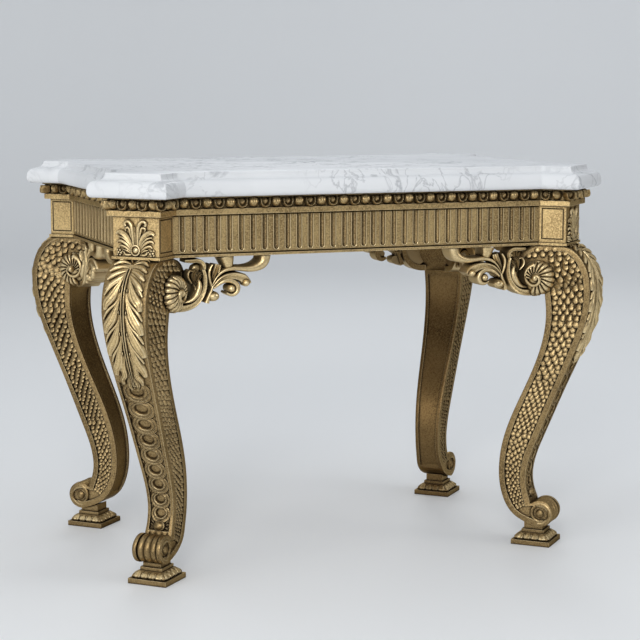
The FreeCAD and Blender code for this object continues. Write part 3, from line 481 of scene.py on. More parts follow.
bright_gilt = gilt("burnished gilding", (0.78, 0.595, 0.305), (0.54, 0.392, 0.188), 0.35, 0.31, 0.97)
carved_gilt = gilt("toned gilding", (0.40, 0.282, 0.130), (0.218, 0.149, 0.066), 0.50, 0.35, 0.95, 0.0016)
scale_gilt = gilt("rubbed scales", (0.60, 0.445, 0.222), (0.30, 0.212, 0.098), 0.45, 0.38, 0.97, 0.0008)
egg_gilt = gilt("cornice gilding", (0.60, 0.445, 0.215), (0.36, 0.255, 0.118), 0.45, 0.36, 0.60, 0.0010)
flat_gilt = gilt("flat gilding", (0.70, 0.515, 0.245), (0.38, 0.266, 0.120), 0.45, 0.42, 0.95, 0.0016)

# %% [markdown]
# ## Marble, wood, steel and felt
#
# The slab is a white marble with faint grey veins. Veins are the places where a noise passes its middle
# value, which gives thin wandering lines; two sizes of them and a soft cloud make the stone. The wood
# inside the frame was never gilded and shows only from below.

# %% Marble
def vein(tree, source, middle, width, strength, patches):
    """Strength where a noise passes its middle value inside a patch, falling to 0 on both sides."""
    rise = spread(tree, source, middle - width, middle)
    fall = spread(tree, source, middle + width, middle)
    line = calculate(tree, "MULTIPLY", calculate(tree, "MULTIPLY", rise, fall), strength)
    return calculate(tree, "MULTIPLY", line, patches)


marble, tree, shader = new_material("white veined marble")
broad = noise(tree, 3.1, 10.0, 1.8, (1.0, 1.7, 1.0))
fine = noise(tree, 9.0, 9.0, 1.5, (1.4, 0.8, 1.0))
cloud = spread(tree, noise(tree, 3.2, 6.0, 0.8), 0.45, 0.75, 0.0, 0.40)
patches = spread(tree, noise(tree, 4.0, 3.0), 0.42, 0.60)
stone = blend(tree, cloud, (0.735, 0.75, 0.768), (0.57, 0.588, 0.608))
stone = blend(tree, vein(tree, broad, 0.5, 0.020, 0.70, patches), stone, (0.26, 0.275, 0.30))
stone = blend(tree, vein(tree, fine, 0.52, 0.024, 0.60, patches), stone, (0.34, 0.35, 0.37))
fill(tree, shader, {"Base Color": stone, "Roughness": 0.26, "Specular IOR Level": 0.06})
roughen(tree, shader, noise(tree, 60.0, 2.0), 0.04, 0.0005)

# %% Plain finishes of the hidden parts
def plain(name, first, second, scale, stretch, roughness, metallic=0.0, depth=0.0004):
    material, tree, shader = new_material(name)
    figure = noise(tree, scale, 6.0, 0.6, stretch)
    colour = blend(tree, spread(tree, figure, 0.35, 0.65), first, second)
    fill(tree, shader, {"Base Color": colour, "Roughness": roughness, "Metallic": metallic})
    roughen(tree, shader, figure, 0.4, depth)
    return material


bare_wood = plain("bare pine", (0.42, 0.27, 0.14), (0.26, 0.15, 0.07), 9.0, (1.0, 1.0, 14.0), 0.7)
steel = plain("screw steel", (0.42, 0.42, 0.43), (0.30, 0.30, 0.31), 60.0, (1.0, 1.0, 6.0), 0.35, 1.0, 0.0001)
felt = plain("felt pads", (0.10, 0.09, 0.08), (0.16, 0.15, 0.13), 300.0, (1.0, 1.0, 1.0), 0.95)
print("materials:", len(bpy.data.materials))

# %% Finish of the solids that stay as they are
def finish_node(name, material):
    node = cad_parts[name]
    node.data.materials.clear()
    node.data.materials.append(material)


for corner, sx, sy in CORNERS:
    finish_node("corner_post_" + corner, flat_gilt)
    finish_node("corner_block_" + corner, bare_wood)
    finish_node("foot_" + corner, carved_gilt)
for name in ("cross_rail_left", "cross_rail_right", "leg_dowels", "foot_dowels"):
    finish_node(name, bare_wood)
finish_node("corner_block_screws", steel)
finish_node("slab_pads", felt)

# %% [markdown]
# ## Marble slab
#
# The slab is a breakfront: its four corners step forward as square blocks set on the diagonal. Its edge
# is one moulding all the way round: a small fillet, a hollow, a step, a quarter round and a rounded
# underside. The moulding is a short list of offsets and heights, and each of them becomes one ring of
# the outline grown by that offset, so every mitre comes out right by itself.

# %% Outline of the table at a distance from the frieze
OUTLINE_CORNERS = 16


def quarter_outline(offset):
    half = HALF_POST + offset
    inner = ROOT2 * offset - half
    spots = ((inner, -half), (POST_FACE + offset, -half), (POST_FACE + offset, half), (inner, half))
    return [(A + (u - l) / ROOT2, B + (u + l) / ROOT2) for u, l in spots]


def outline(offset):
    """The sixteen corners of the frieze grown by an offset, beginning at the rear right."""
    quarter = quarter_outline(offset)
    points = list(quarter)
    points += [(-x, y) for x, y in reversed(quarter)]
    points += [(-x, -y) for x, y in quarter]
    points += [(x, -y) for x, y in reversed(quarter)]
    return np.array(points)


def eased(points, ease):
    """Outline with each corner cut to a small arc of five points."""
    result = []
    for index in range(len(points)):
        corner = points[index]
        back = corner + unit(points[index - 1] - corner) * ease
        ahead = corner + unit(points[(index + 1) % len(points)] - corner) * ease
        for share in (0.0, 0.25, 0.5, 0.75, 1.0):
            near = back + (corner - back) * share
            far = corner + (ahead - corner) * share
            result.append(near + (far - near) * share)
    return np.array(result)


def ring_at(offset, z, ease=1.6):
    plan = eased(outline(offset), ease)
    return np.concatenate([plan, np.full((len(plan), 1), z)], 1)


def capped(rings):
    """Closed skin of rings stacked from top to bottom, with a flat cap at each end."""
    rings = np.array(rings)
    count = rings.shape[1]
    index = np.arange(rings.shape[0] * count).reshape(-1, count)
    beside = np.roll(index, -1, axis=1)
    faces = np.stack([index[:-1], beside[:-1], beside[1:], index[1:]], -1).reshape(-1, 4).tolist()
    return rings.reshape(-1, 3), faces + [index[0].tolist(), index[-1][::-1].tolist()]

# %% Edge moulding of the slab
slab_reach = (high("marble_top")[0] - A) * ROOT2 - POST_FACE - HALF_POST
SLAB_OVERHANG = slab_reach / 2
print("slab overhang", round(SLAB_OVERHANG, 2))


def quarter_bend(start, end, bulge, count=7):
    """Quarter circle between two (offset, z) points; bulge 1 swells outwards, -1 is a hollow."""
    turn = np.linspace(0, np.pi / 2, count)
    (x0, z0), (x1, z1) = start, end
    if bulge > 0:
        return [(x0 + (x1 - x0) * math.sin(t), z1 + (z0 - z1) * math.cos(t)) for t in turn]
    return [(x1 + (x0 - x1) * math.cos(t), z0 + (z1 - z0) * math.sin(t)) for t in turn]


def edge_spots(*steps):
    """Points (offset, z) from distances behind the edge and below the top."""
    return [(SLAB_OVERHANG - behind, SLAB_TOP - below) for behind, below in steps]


UNDERSIDE_RADIUS = 11.0
edge_foot = (SLAB_OVERHANG, SLAB_BOTTOM + UNDERSIDE_RADIUS)
moulding = edge_spots((28.6, 0.0), (28.0, 0.15), (27.2, 0.6), (27.0, 1.2), (27.0, 5.6), (26.6, 6.0))
moulding += quarter_bend(*edge_spots((26.0, 6.0), (13.0, 15.0)), -1)
moulding += edge_spots((12.9, 15.6), (12.5, 16.0))
moulding += quarter_bend(*edge_spots((12.0, 16.0), (0.0, 35.0)), 1, 9)
moulding += edge_spots((0.0, 36.5)) + [edge_foot]
moulding += quarter_bend((SLAB_OVERHANG - 8.0, SLAB_BOTTOM), edge_foot, 1)[::-1][1:]
slab = make_piece("marble_slab", [capped([ring_at(offset, z) for offset, z in moulding])], marble,
                  ["marble_top"], 30)
print("slab faces:", len(slab.data.polygons))

# %% [markdown]
# ## Leg
#
# Each leg is an S curve cut from a thick plank and set on the diagonal: the knee swells forward under
# the post, the shin runs back, and the foot rolls forward into a scroll. The side view is a closed line
# in the diagonal plane. The line is swept across the width of the leg with a section that changes on
# the way: plain under the leaf, a sunk channel for the chain of rings, reeds on the foot scroll, and a
# shallow sunk panel up the back.

# %% Side view of the leg
LEG_SWEEP = 143.0
SCROLL_RADIUS = 30.5
SCROLL_U = -46.0
SCROLL_Z = SCROLL_FOOT + SCROLL_RADIUS
SHELL_RADIUS = 39.0
SHELL_U = -54.6
SHELL_Z = FRAME_BOTTOM - 71.3
SEAT_FRONT = (-8.0, FRAME_BOTTOM)
SEAT_BACK = (-48.0, FRAME_BOTTOM)


def leg_spots(shares):
    """Points (u, z) from shares of the leg's sweep and height."""
    return [(sweep * LEG_SWEEP, SCROLL_FOOT + rise * LEG_HEIGHT) for sweep, rise in shares]


def scroll_spot(degrees):
    angle = math.radians(degrees)
    return (SCROLL_U + SCROLL_RADIUS * math.cos(angle), SCROLL_Z + SCROLL_RADIUS * math.sin(angle))


CUSP = (-0.269, 0.838)
front_shares = ((0.070, 0.9945), (0.259, 0.966), (0.399, 0.910), (0.441, 0.847), (0.399, 0.756),
                (0.238, 0.649), (-0.042, 0.504), (-0.378, 0.320), (-0.538, 0.218), (-0.559, 0.147))
back_shares = ((-0.748, 0.0386), (-0.951, 0.111), (-1.0, 0.205), (-0.937, 0.301), (-0.664, 0.459),
               (-0.371, 0.614), (-0.245, 0.764), CUSP)
top_shares = (CUSP, (-0.434, 0.8215), (-0.629, 0.847), (-0.720, 0.902), (-0.685, 0.9575), (-0.571, 0.9835))

ARC_START = 135  # degrees round the foot scroll, where the front line meets it
ARC_END = -100  # and where the back line leaves it
front_curve = smooth_line([SEAT_FRONT] + leg_spots(front_shares) + [scroll_spot(ARC_START)], 260)
arc_turn = np.linspace(ARC_START, ARC_END, 64)
arc_curve = np.array([scroll_spot(angle) for angle in arc_turn])
back_curve = smooth_line([scroll_spot(ARC_END + 360)] + leg_spots(back_shares), 220)
crown_curve = smooth_line(leg_spots(top_shares) + [SEAT_BACK], 60)
front_run = distances(front_curve)
print("front of the leg:", round(front_run[-1]), "mm long")

# %% Places on the leg and on the post
ANKLE_HALF = 30.0
FOOT_SWELL = 3.0


def half_width(z):
    """Half width of the leg across its front at a height."""
    share = (np.asarray(z, float) - SCROLL_FOOT) / LEG_HEIGHT
    growth = np.clip((share - 0.17) / 0.67, 0, 1)
    body = ANKLE_HALF + (LEG_HALF_TOP - ANKLE_HALF) * growth ** 1.2
    foot = np.clip((0.12 - share) / 0.07, 0, 1)
    return body + FOOT_SWELL * foot * foot * (3 - 2 * foot)


front_normal = normals(front_curve)  # the line runs down the front, so they point outwards


def run_at(z):
    """Distance down the front of the leg at a height."""
    return np.interp(-np.asarray(z, float), -front_curve[:, 1], front_run)


def place_front(a, b, rise):
    """Point on the front of the leg: a across, b down the front from the seat, rise above it."""
    u = np.interp(b, front_run, front_curve[:, 0])
    z = np.interp(b, front_run, front_curve[:, 1])
    across = np.interp(b, front_run, front_normal[:, 0])
    up = np.interp(b, front_run, front_normal[:, 1])
    return np.stack([u + across * rise, a + 0 * b, z + up * rise], -1)


def place_side(u, z, rise):
    """Point on the side of the leg at l > 0, seen square on."""
    return np.stack([u + 0 * rise, half_width(z) + rise, z + 0 * rise], -1)


def place_post(l, z, rise):
    """Point on the outward face of the post."""
    return np.stack([POST_FACE + rise + 0 * l, l + 0 * rise, z + 0 * rise], -1)

# %% Section across the leg, station by station
CHANNEL_BORDER = 6.5
CHANNEL_DEPTH = 5.0
BACK_BORDER = 8.0
BACK_DEPTH = 4.0
REED_RIM = 10.0
REED_DEPTH = 7.0
REED_RISE = 6.2
RIM_RISE = 1.6
steps_in = np.array([0.0, 0.35, 1.2, CHANNEL_BORDER, CHANNEL_BORDER + 0.7, BACK_BORDER, BACK_BORDER + 0.8,
                     REED_RIM, REED_RIM + 0.8])
inner_places = np.linspace(0, 1, 23)[1:-1]


def across_places(half):
    """Places across the leg from one side to the other at one station."""
    inside = half - steps_in[-1]
    middle = (2 * inner_places - 1) * inside
    return np.concatenate([-(half - steps_in), middle, (half - steps_in)[::-1]])


def section_depth(places, half, channel, back, reeds):
    """How far the surface lies below the outline at each place across."""
    inset = half - np.abs(places)
    arris = np.interp(inset, [0, 0.35, 1.2], [1.2, 0.35, 0.0])
    sunk = channel * CHANNEL_DEPTH * np.interp(inset, [CHANNEL_BORDER, CHANNEL_BORDER + 0.7], [0, 1])
    panel = back * BACK_DEPTH * np.interp(inset, [BACK_BORDER, BACK_BORDER + 0.8], [0, 1])
    wave = np.abs(np.cos(1.5 * np.pi * places / (half - REED_RIM)))
    rim = RIM_RISE * (1 - np.clip(np.abs(inset - REED_RIM / 2) / (REED_RIM / 2), 0, 1) ** 2)
    reeded = np.where(inset >= REED_RIM, REED_DEPTH - REED_RISE * np.sqrt(wave), RIM_RISE - rim)
    return arris + sunk + panel + reeds * reeded


def station_grid(curve, channel=0.0, back=0.0, reeds=0.0):
    """Grid of points of the rim of the leg along one curve; the three weights may run along it."""
    rows = []
    weights = [np.broadcast_to(weight, len(curve)) for weight in (channel, back, reeds)]
    for (u, z), (nu, nz), c, b, r in zip(curve, normals(curve), *weights):
        half = float(half_width(z))
        places = across_places(half)
        depth = section_depth(places, half, c, b, r)
        rows.append(np.stack([u - nu * depth, places, z - nz * depth], -1))
    return np.array(rows)


def share_of(curve):
    return (curve[:, 1] - SCROLL_FOOT) / LEG_HEIGHT


front_share = share_of(front_curve)
front_channel = ramp(front_share, 0.096, 0.106) * (1 - ramp(front_share, 0.600, 0.612))
front_rows = station_grid(front_curve, front_channel, reeds=1 - ramp(front_share, 0.078, 0.098))
arc_rows = station_grid(arc_curve, reeds=ramp(arc_turn, -98, -70))
back_share = share_of(back_curve)
panel_foot = ramp(back_share, 0.045, 0.06)
back_panel = panel_foot * (1 - ramp(back_share, 0.79, 0.81))
calf = np.argmin(back_curve[:, 0])
back_panel[:calf] *= panel_foot[:calf]
back_rows = station_grid(back_curve, back=back_panel)
rim_rows = np.concatenate([front_rows, arc_rows[1:], back_rows[1:], station_grid(crown_curve)[1:]])
rim_curve = np.concatenate([front_curve, arc_curve[1:], back_curve[1:], crown_curve[1:]])
print("rim of the leg:", rim_rows.shape)

# %% [markdown]
# The two sides of the leg are filled by chords from the front line to the back line. Pairs of places on
# the two lines keep the chords roughly square to the leg on its way down, and inside the foot scroll
# they sweep across the disc to its tip. Along each chord the surface has a plain band at both ends and
# a shallow sunk field between them, which carries the fish scales.

# %% Pair the front line with the back line
front_end = len(front_curve) - 1
back_start = front_end + len(arc_curve) - 1
cusp_index = back_start + len(back_curve) - 1
rim_end = len(rim_curve) - 1
CUSP_LEVEL = 562
ARC_ANGLES = (110, 80, 50, 25)
# u and z near the front line, then u and z near the back line
PAIRS = ((-8, 677, -48, 677), (10, 673.5, -81.6, 666.5), (27, 664, -98, 650), (40, 652, -103, 615),
         (50, 637, -98, 593), (54, 628, -90, 580), (56, 622, -76, 567), (57, 619, -62, 563.5),
         (59, 612, -48, 567), (61, 600, -38.5, 574), (63, 578, -37, 560), (58, 525, -35, 525),
         (35, 455, -46, 455), (0, 370, -83, 352), (-40, 270, -118, 275), (-67, 205, -137, 225),
         (-79, 160, -143, 165), (-80, 135, -137, 118), (-76, 112, -124, 88), (-68, 93.5, -108, 66))


def front_near(spot):
    return int(np.argmin(np.linalg.norm(front_curve - np.array(spot), axis=1)))


def back_near(spot):
    """Station of the back line nearest to a spot, above or below the cusp as the spot is."""
    start, end = (cusp_index, rim_end + 1) if spot[1] > CUSP_LEVEL else (back_start, cusp_index + 1)
    return start + int(np.argmin(np.linalg.norm(rim_curve[start:end] - np.array(spot), axis=1)))


def arc_near(angle):
    return front_end + int(np.argmin(np.abs(arc_turn - angle)))


front_keys = [front_near(pair[:2]) for pair in PAIRS] + [arc_near(angle) for angle in ARC_ANGLES + (0,)]
back_keys = [back_near(pair[2:]) for pair in PAIRS]
back_keys += [back_near((-90, 50.5)), back_start, arc_near(-75), arc_near(-35), arc_near(0)]

front_steps = [front_keys[0]]
back_steps = [back_keys[0]]
for f0, f1, b0, b1 in zip(front_keys, front_keys[1:], back_keys, back_keys[1:]):
    count = max(abs(f1 - f0), abs(b1 - b0), 1)
    front_steps += [round(f0 + (f1 - f0) * step / count) for step in range(1, count + 1)]
    back_steps += [round(b0 + (b1 - b0) * step / count) for step in range(1, count + 1)]
front_steps = np.array(front_steps)
back_steps = np.array(back_steps)
print("stations down the leg:", len(front_steps))

# %% Sides of the leg
SIDE_BAND = 12.0
SIDE_RECESS = 4.4
FIELD_COLUMNS = 11
field_top = 2
field_low = len(front_steps) - 9


def side_rows():
    rows = []
    for station, (f, b) in enumerate(zip(front_steps, back_steps)):
        near = rim_rows[f, -1]
        far = rim_rows[b, -1]
        chord = far - near
        length = float(np.hypot(chord[0], chord[2]))
        band = min(SIDE_BAND, 0.3 * length)
        slope = min(0.8, 0.02 * length)
        inner = np.linspace(band + slope, length - band - slope, FIELD_COLUMNS)
        marks = np.concatenate([[0, band], inner, [length - band, length]])
        spots = near + chord * (marks / max(length, 1e-6))[:, None]
        opening = ramp(station, field_top - 1, field_top + 1) * (1 - ramp(station, field_low, field_low + 2))
        depth = np.concatenate([[0, 0], np.full(FIELD_COLUMNS, SIDE_RECESS * float(opening)), [0, 0]])
        spots[:, 1] = half_width(spots[:, 2]) - depth
        spots[0] = near
        spots[-1] = far
        rows.append(spots)
    return np.array(rows)


side_grid = side_rows()
side_skin = sheet(side_grid)
seat_skin = sheet(np.stack([rim_rows[0], rim_rows[-1]]))
leg_body = [sheet(rim_rows), side_skin, sheet(side_grid * np.array([1, -1, 1])), seat_skin]
print("leg body points:", sum(len(points) for points, faces in leg_body))

# %% Plain band round the upper scroll
CROWN_END_LEVEL = 640
CROWN_BAND_UNDER = -4.0


def crown_band():
    """Raised band from the front arris over the top to the cusp; its ends dive under the side."""
    start = int(np.argmax(front_curve[:, 1] < CROWN_END_LEVEL))
    seat = np.linspace(front_curve[0], crown_curve[-1], 14)[1:-1]
    line = np.concatenate([front_curve[:start][::-1], seat, crown_curve[::-1]])
    count = len(line)
    inward = -normals(line)
    towards = np.array([SHELL_U + 20, SHELL_Z]) - line
    inward = np.where((towards * inward).sum(1, keepdims=True) < 0, -inward, inward)
    reach = np.array([0.9, 1.3, 11.3, 12.0, 12.2])
    rise = np.array([-0.1, 0.1, 0.1, -0.5, -SIDE_RECESS])
    flat = line[:, None] + inward[:, None] * reach[None, :, None]
    ends = np.interp(np.arange(count), [0, 6, count - 7, count - 1], [0.5, 0.0, 0.0, 0.5])
    grid = np.broadcast_to(rise[None], flat.shape[:2]) - ends[:, None]
    return raised(place_side, flat[..., 0], flat[..., 1], grid, CROWN_BAND_UNDER)

# %% [markdown]
# ## Fish scales on the sides of the leg
#
# The sunk field is filled with overlapping scales, a pattern called imbrication. Every scale is the
# same small shield: its upper end dives under the row above, its lower end is lifted and rounded, and a
# rib runs down its middle. They are large on the knee and shrink towards the ankle with the width of
# the field, and they leave room for the shell at the upper scroll. They form a piece of their own on
# each leg, so that their gilding can be rubbed brighter than the field.

# %% One scale
scale_along = np.array([-0.58, -0.34, -0.08, 0.14, 0.32, 0.44, 0.50])
scale_half = np.array([0.20, 0.38, 0.455, 0.44, 0.33, 0.17, 0.03])
scale_rise = np.array([0.02, 0.11, 0.25, 0.37, 0.42, 0.35, 0.08])
scale_across = np.array([-1.0, -0.74, 0.0, 0.74, 1.0])
scale_section = np.array([0.0, 0.62, 1.0, 0.62, 0.0])
SCALE_SINK = 0.8


def fish_scale(u, z, direction, size):
    """One scale on the side of the leg with its tip pointing along direction."""
    across = np.array([-direction[1], direction[0]])
    x = scale_half[:, None] * scale_across[None] * size
    y = scale_along[:, None] * size + 0 * x
    grid_u = u + direction[0] * y + across[0] * x
    grid_z = z + direction[1] * y + across[1] * x
    rise = -SIDE_RECESS + 0.1 + size * scale_rise[:, None] * scale_section[None]
    return raised(place_side, grid_u, grid_z, rise, -SIDE_RECESS - SCALE_SINK)

# %% Rows of scales down the field
SCALE_SIZES = ([66, 110, 240, 400, 520, 660], [7.5, 9.8, 13.0, 16.0, 17.8, 18.6])  # at heights, in mm
ROW_PITCH = 0.69


def on_ornament(spot):
    """True where the shell or the foot scroll covers the field."""
    to_shell = math.hypot(spot[0] - SHELL_U, spot[1] - SHELL_Z)
    to_scroll = math.hypot(spot[0] - SCROLL_U, spot[1] - SCROLL_Z)
    return to_shell < SHELL_RADIUS + 1.5 or to_scroll < SCROLL_RADIUS - 3.0


def scale_rows():
    skins = []
    middle = (side_grid[:, 0] + side_grid[:, -1])[:, [0, 2]] / 2
    run = distances(middle)
    last = run[int(np.argmax(front_steps >= front_near((-70.0, 95.0))))]
    place = run[field_top] + 7.0
    row = 0
    while place < last:
        station = int(np.searchsorted(run, place))
        near = side_grid[station, 0][[0, 2]]
        far = side_grid[station, -1][[0, 2]]
        ahead = unit(middle[min(station + 4, len(middle) - 1)] - middle[station - 4])
        chord = far - near
        length = float(np.linalg.norm(chord))
        size = float(np.interp(near[1], *SCALE_SIZES))
        start = min(SIDE_BAND, 0.3 * length) + 1.0
        count = max(2, round((length - 2 * start) / size))
        step = (length - 2 * start) / count
        offsets = np.arange(count) + 0.5 if row % 2 == 0 else np.arange(count + 1) + 0.0
        for offset in offsets:
            inset = start + offset * step
            inset = min(max(inset, start + 0.30 * step), length - start - 0.30 * step)
            spot = near + chord / length * inset
            if not on_ornament(spot):
                skins.append(fish_scale(spot[0], spot[1], ahead, step * 1.02))
        place += ROW_PITCH * size
        row += 1
    print("scales on one side:", len(skins), "in", row, "rows")
    return skins


scales = scale_rows()

# %% [markdown]
# ## Foot scroll
#
# The foot rolls up on itself. On each cheek the roll is told by a raised rim that winds inwards in the
# sunk field, and by a round boss in the middle.

# %% Rims and bosses of the foot scroll
def spiral(centre_u, centre_z, start_angle, turns, start_radius, end_radius, count=60):
    """Points (u, z) of a spiral in the side view."""
    share = np.linspace(0, 1, count)
    angle = np.radians(start_angle) + share * turns * 2 * np.pi
    radius = start_radius + (end_radius - start_radius) * share
    return np.stack([centre_u + radius * np.cos(angle), centre_z + radius * np.sin(angle)], -1)


rim_line = spiral(SCROLL_U, SCROLL_Z, ARC_END, 1.15, SCROLL_RADIUS - 5.5, 15.5)
cheek = [blade(rim_line[::3], [5.4, 5.2, 4.8, 4.2, 2.6], [5.0, 5.2, 5.2, 5.0, 4.0], place_side,
               along=80, base=-SIDE_RECESS),
         dome(SCROLL_U, SCROLL_Z, 9.5, 9.5, 5.6, place_side, -SIDE_RECESS, 1.0, 8, 28, 0.45)]

make_at_corners("leg_carved", leg_body + both_sides(cheek + [crown_band()]), carved_gilt, "leg")
make_at_corners("fish_scales", both_sides(scales), scale_gilt)

# %% [markdown]
# ## Acanthus leaf on the knee
#
# The leaf hangs from the post and wraps the knee. At the top a fan of small lobes spreads sideways from
# one point. Below it, tier after tier of long lobes leaves the midrib, runs down beside it and turns
# out to the arris. Each lobe is a blade with a hollow on both sides of its own little rib, and it rises
# towards its rounded end, so that every tier seems to lie on the one below.

# %% Sheet of the leaf
leaf_outline = [(0.86, 0.985), (0.93, 0.955), (0.88, 0.935), (0.94, 0.905), (0.86, 0.880), (0.93, 0.842),
                (0.84, 0.815), (0.88, 0.775), (0.70, 0.740), (0.70, 0.700), (0.50, 0.665), (0.42, 0.635),
                (0.24, 0.610), (0.05, 0.596)]
SHEET_SHARE = 0.76  # the sheet stays inside the tips of the lobes


def leaf_sheet():
    spots = [(across * LEG_HALF_TOP, SCROLL_FOOT + share * LEG_HEIGHT) for across, share in leaf_outline]
    edge_line = smooth_line(spots, 60)
    heights = np.linspace(edge_line[0, 1], edge_line[-1, 1], 60)
    half = np.interp(-heights, -edge_line[:, 1], edge_line[:, 0])
    half = SHEET_SHARE * np.minimum(half, half_width(heights) - 1.5)
    across = np.linspace(-1, 1, 15)
    a = half[:, None] * across[None]
    b = run_at(heights)[:, None] + 0 * a
    rise = 0.9 * (1 - np.abs(across[None]) ** 6) + 0 * a
    return raised(place_front, a, b, rise, -0.8)


def leaf_lobe(points, widths, heights, section=leaf_section, base=1.0):
    """Lobe through points (across, height); heights give its rise from root to tip."""
    points = np.array(points, float)
    line = np.stack([points[:, 0], run_at(points[:, 1])], -1)
    across = 17 if section is reeded_section else 9
    return blade(line, widths, heights, place_front, section, 20, across, base, 2.0)

# %% Fan of small lobes at the top
# reach across, heights of root and end, half width
fan = ((36, 671, 672, 3.0), (41, 668, 665, 3.8), (43.5, 663, 654, 4.4), (44, 657, 639, 5.0),
       (43, 650, 620, 5.2))
lobes = []
for reach, root, end, width in fan:
    middle = (root + end) / 2 + 4.0
    lobes.append(leaf_lobe([(3.5, root), (reach * 0.45, middle), (reach - 2.0, end)],
                           [1.2, width * 0.70, width, width * 1.1, width * 0.45], [0.8, 3.4, 5.4, 6.4, 3.6],
                           round_section))

# %% Long tiers, tip, eyes and midrib
# heights of root, bend and end, reach across, half width
tiers = ((650, 634, 585, 44.5, 8.4), (616, 592, 538, 45.0, 9.2), (573, 548, 492, 43.5, 9.0),
         (530, 505, 451, 37.0, 8.2), (490, 470, 432, 24.0, 5.6))
for root, bend, end, reach, width in tiers:
    middle = (bend + end) / 2
    long_lobe = [(5.0, root), (8.0, (root + bend) / 2), (15.0, bend - 8), (reach * 0.60, middle - 5),
                 (reach * 0.80, end + 9), (reach * 0.88, end - 4)]
    lobes.append(leaf_lobe(long_lobe, [1.2, 3.4, 7.0, width * 1.22, width * 1.20, width * 0.60],
                           [0.8, 2.6, 4.4, 6.0, 7.6, 4.0], reeded_section))
    upper = [(6.4, root + 1), (14.0, bend + 5), (reach * 0.72, middle + 15), (reach - 1.5, end + 24)]
    lobes.append(leaf_lobe(upper, [0.8, 2.2, 3.4, 3.8, 1.8], [0.4, 2.2, 4.2, 5.6, 2.8], round_section))
lobes.append(leaf_lobe([(3.0, 455), (7.0, 437), (9.0, 424), (6.5, 415)], [1.5, 4.5, 5.6, 4.5, 2.0],
                       [0.8, 3.0, 4.6, 3.8, 1.8]))
eyes = [dome(8.4, float(run_at(tier[0] + 4)), 2.0, 4.4, 5.6, place_front, 0.6, 1.0, 4, 10)
        for tier in tiers[1:]]
rib = leaf_lobe([(2.7, 660), (2.8, 600), (2.4, 520), (1.7, 440), (1.0, 424)], [1.4, 2.1, 2.0, 1.7, 1.0],
                [4.0, 5.6, 5.2, 4.4, 2.8], round_section)
leaf_skins = [leaf_sheet()] + both_sides(lobes) + both_sides(eyes) + both_sides([rib])
make_at_corners("acanthus_leaf_carved", leaf_skins, bright_gilt, "acanthus_leaf")

# %% [markdown]
# ## Chain of rings down the shin
#
# Under the leaf hangs a guilloche: rings that overlap like coins laid in a row. Each ring has a flat
# border, a raised round bead inside it and a deep eye, and tips forward at its lower edge over the next.
# A bell-shaped button with two sprigs closes the chain above the foot scroll.

# %% Rings
ring_shares = (0.575, 0.515, 0.4615, 0.4085, 0.3535, 0.3015, 0.2495, 0.1975, 0.1515)
RING_LAP = 4.0
RING_CLEARANCE = 0.8
# share of the half width, and rise
coin_section = np.array([(1.0, -1.5), (1.0, 2.2), (0.97, 2.9), (0.80, 3.1), (0.77, 2.1), (0.74, 2.2),
                         (0.70, 4.0), (0.62, 4.9), (0.54, 4.3), (0.49, 2.4), (0.46, -1.0), (0.46, -1.5)])


def coin(centre_b, half_a, half_b, base):
    """Ring laid on the front of the leg, with its section from the outer foot to the inner foot."""
    turn = np.linspace(0, 2 * np.pi, 40, endpoint=False)
    reach, rise = coin_section.T
    shift = np.where(reach < 0.75, -0.10 * half_b, 0.0)
    a = half_a * reach[None] * np.cos(turn)[:, None]
    b = centre_b + half_b * reach[None] * np.sin(turn)[:, None] + shift[None]
    tip = 1.5 * (b - centre_b) / half_b
    return closed_ring(place_front(a, b, base + rise[None] + tip))


chain = []
ring_z = [SCROLL_FOOT + share * LEG_HEIGHT for share in ring_shares]
ground = -CHANNEL_DEPTH
for index, z in enumerate(ring_z):
    following = ring_z[index + 1] if index + 1 < len(ring_z) else z - (ring_z[index - 1] - z)
    middle = float(run_at(z))
    slope = float(run_at(following) - run_at(z))
    half_b = slope / 2 + RING_LAP
    half_a = float(half_width(z)) - CHANNEL_BORDER - RING_CLEARANCE
    chain.append(coin(middle, half_a, half_b, ground))
    chain.append(dome(0.0, middle - 0.1 * half_b, half_a * 0.44, half_b * 0.42, 0.8, place_front,
                      ground, 0.5))
    for side in (-1, 1):
        chain.append(dome(side * (half_a - 2.0), middle + slope / 2, 2.6, 4.0, 2.6, place_front, ground, 0.5,
                          4, 10))
for place in np.linspace(-0.7, 0.7, 5):
    pearl = float(run_at(ring_z[0])) - 9.0 - 5.0 * (1 - place * place)
    chain.append(dome(place * 20, pearl, 3.2, 3.2, 3.4, place_front, -1.2, 1.0, 4, 12))

# %% Button and sprigs, and the finished chain
button_b = float(run_at(113.0))
bell = [(13.2, -6.0), (13.2, -1.0), (12.0, 1.6), (10.6, 2.0), (10.0, 3.6), (6.5, 6.0), (2.0, 7.0), (0.1, 7.1),
        (0.0, -6.0)]
chain.append(turned(bell, 0.0, button_b, place_front, 0.86))
for side in (-1, 1):
    for lift, reach in ((-9, 21), (-3, 23), (4, 21)):
        line = [(side * 11, button_b + lift * 0.4), (side * 17, button_b + lift),
                (side * reach, button_b + lift * 1.7)]
        chain.append(blade(line, [1.4, 2.8, 1.0], [1.5, 4.2, 2.0], place_front, leaf_section,
                           8, 7, -3.5, 2.0))
make_at_corners("guilloche_carved", chain, carved_gilt, "guilloche")

# %% [markdown]
# ## Palmette on the post
#
# A flower of stems and fronds in low relief fills the square panel on the face of each post. Two stems
# rise in the middle and curl outwards, a big hollowed frond and smaller round ones fan out on each side,
# and a boss in a ring holds them at the foot, with a cluster of berries in each lower corner.

# %% Fronds of the palmette
PANEL_FOOT = FRAME_BOTTOM + 8.0


def frond(points, widths, heights, section=round_section, along=18):
    line = [(l, PANEL_FOOT + z) for l, z in points]
    return blade(line, widths, heights, place_post, section, along, 9, 1.0, 2.0)


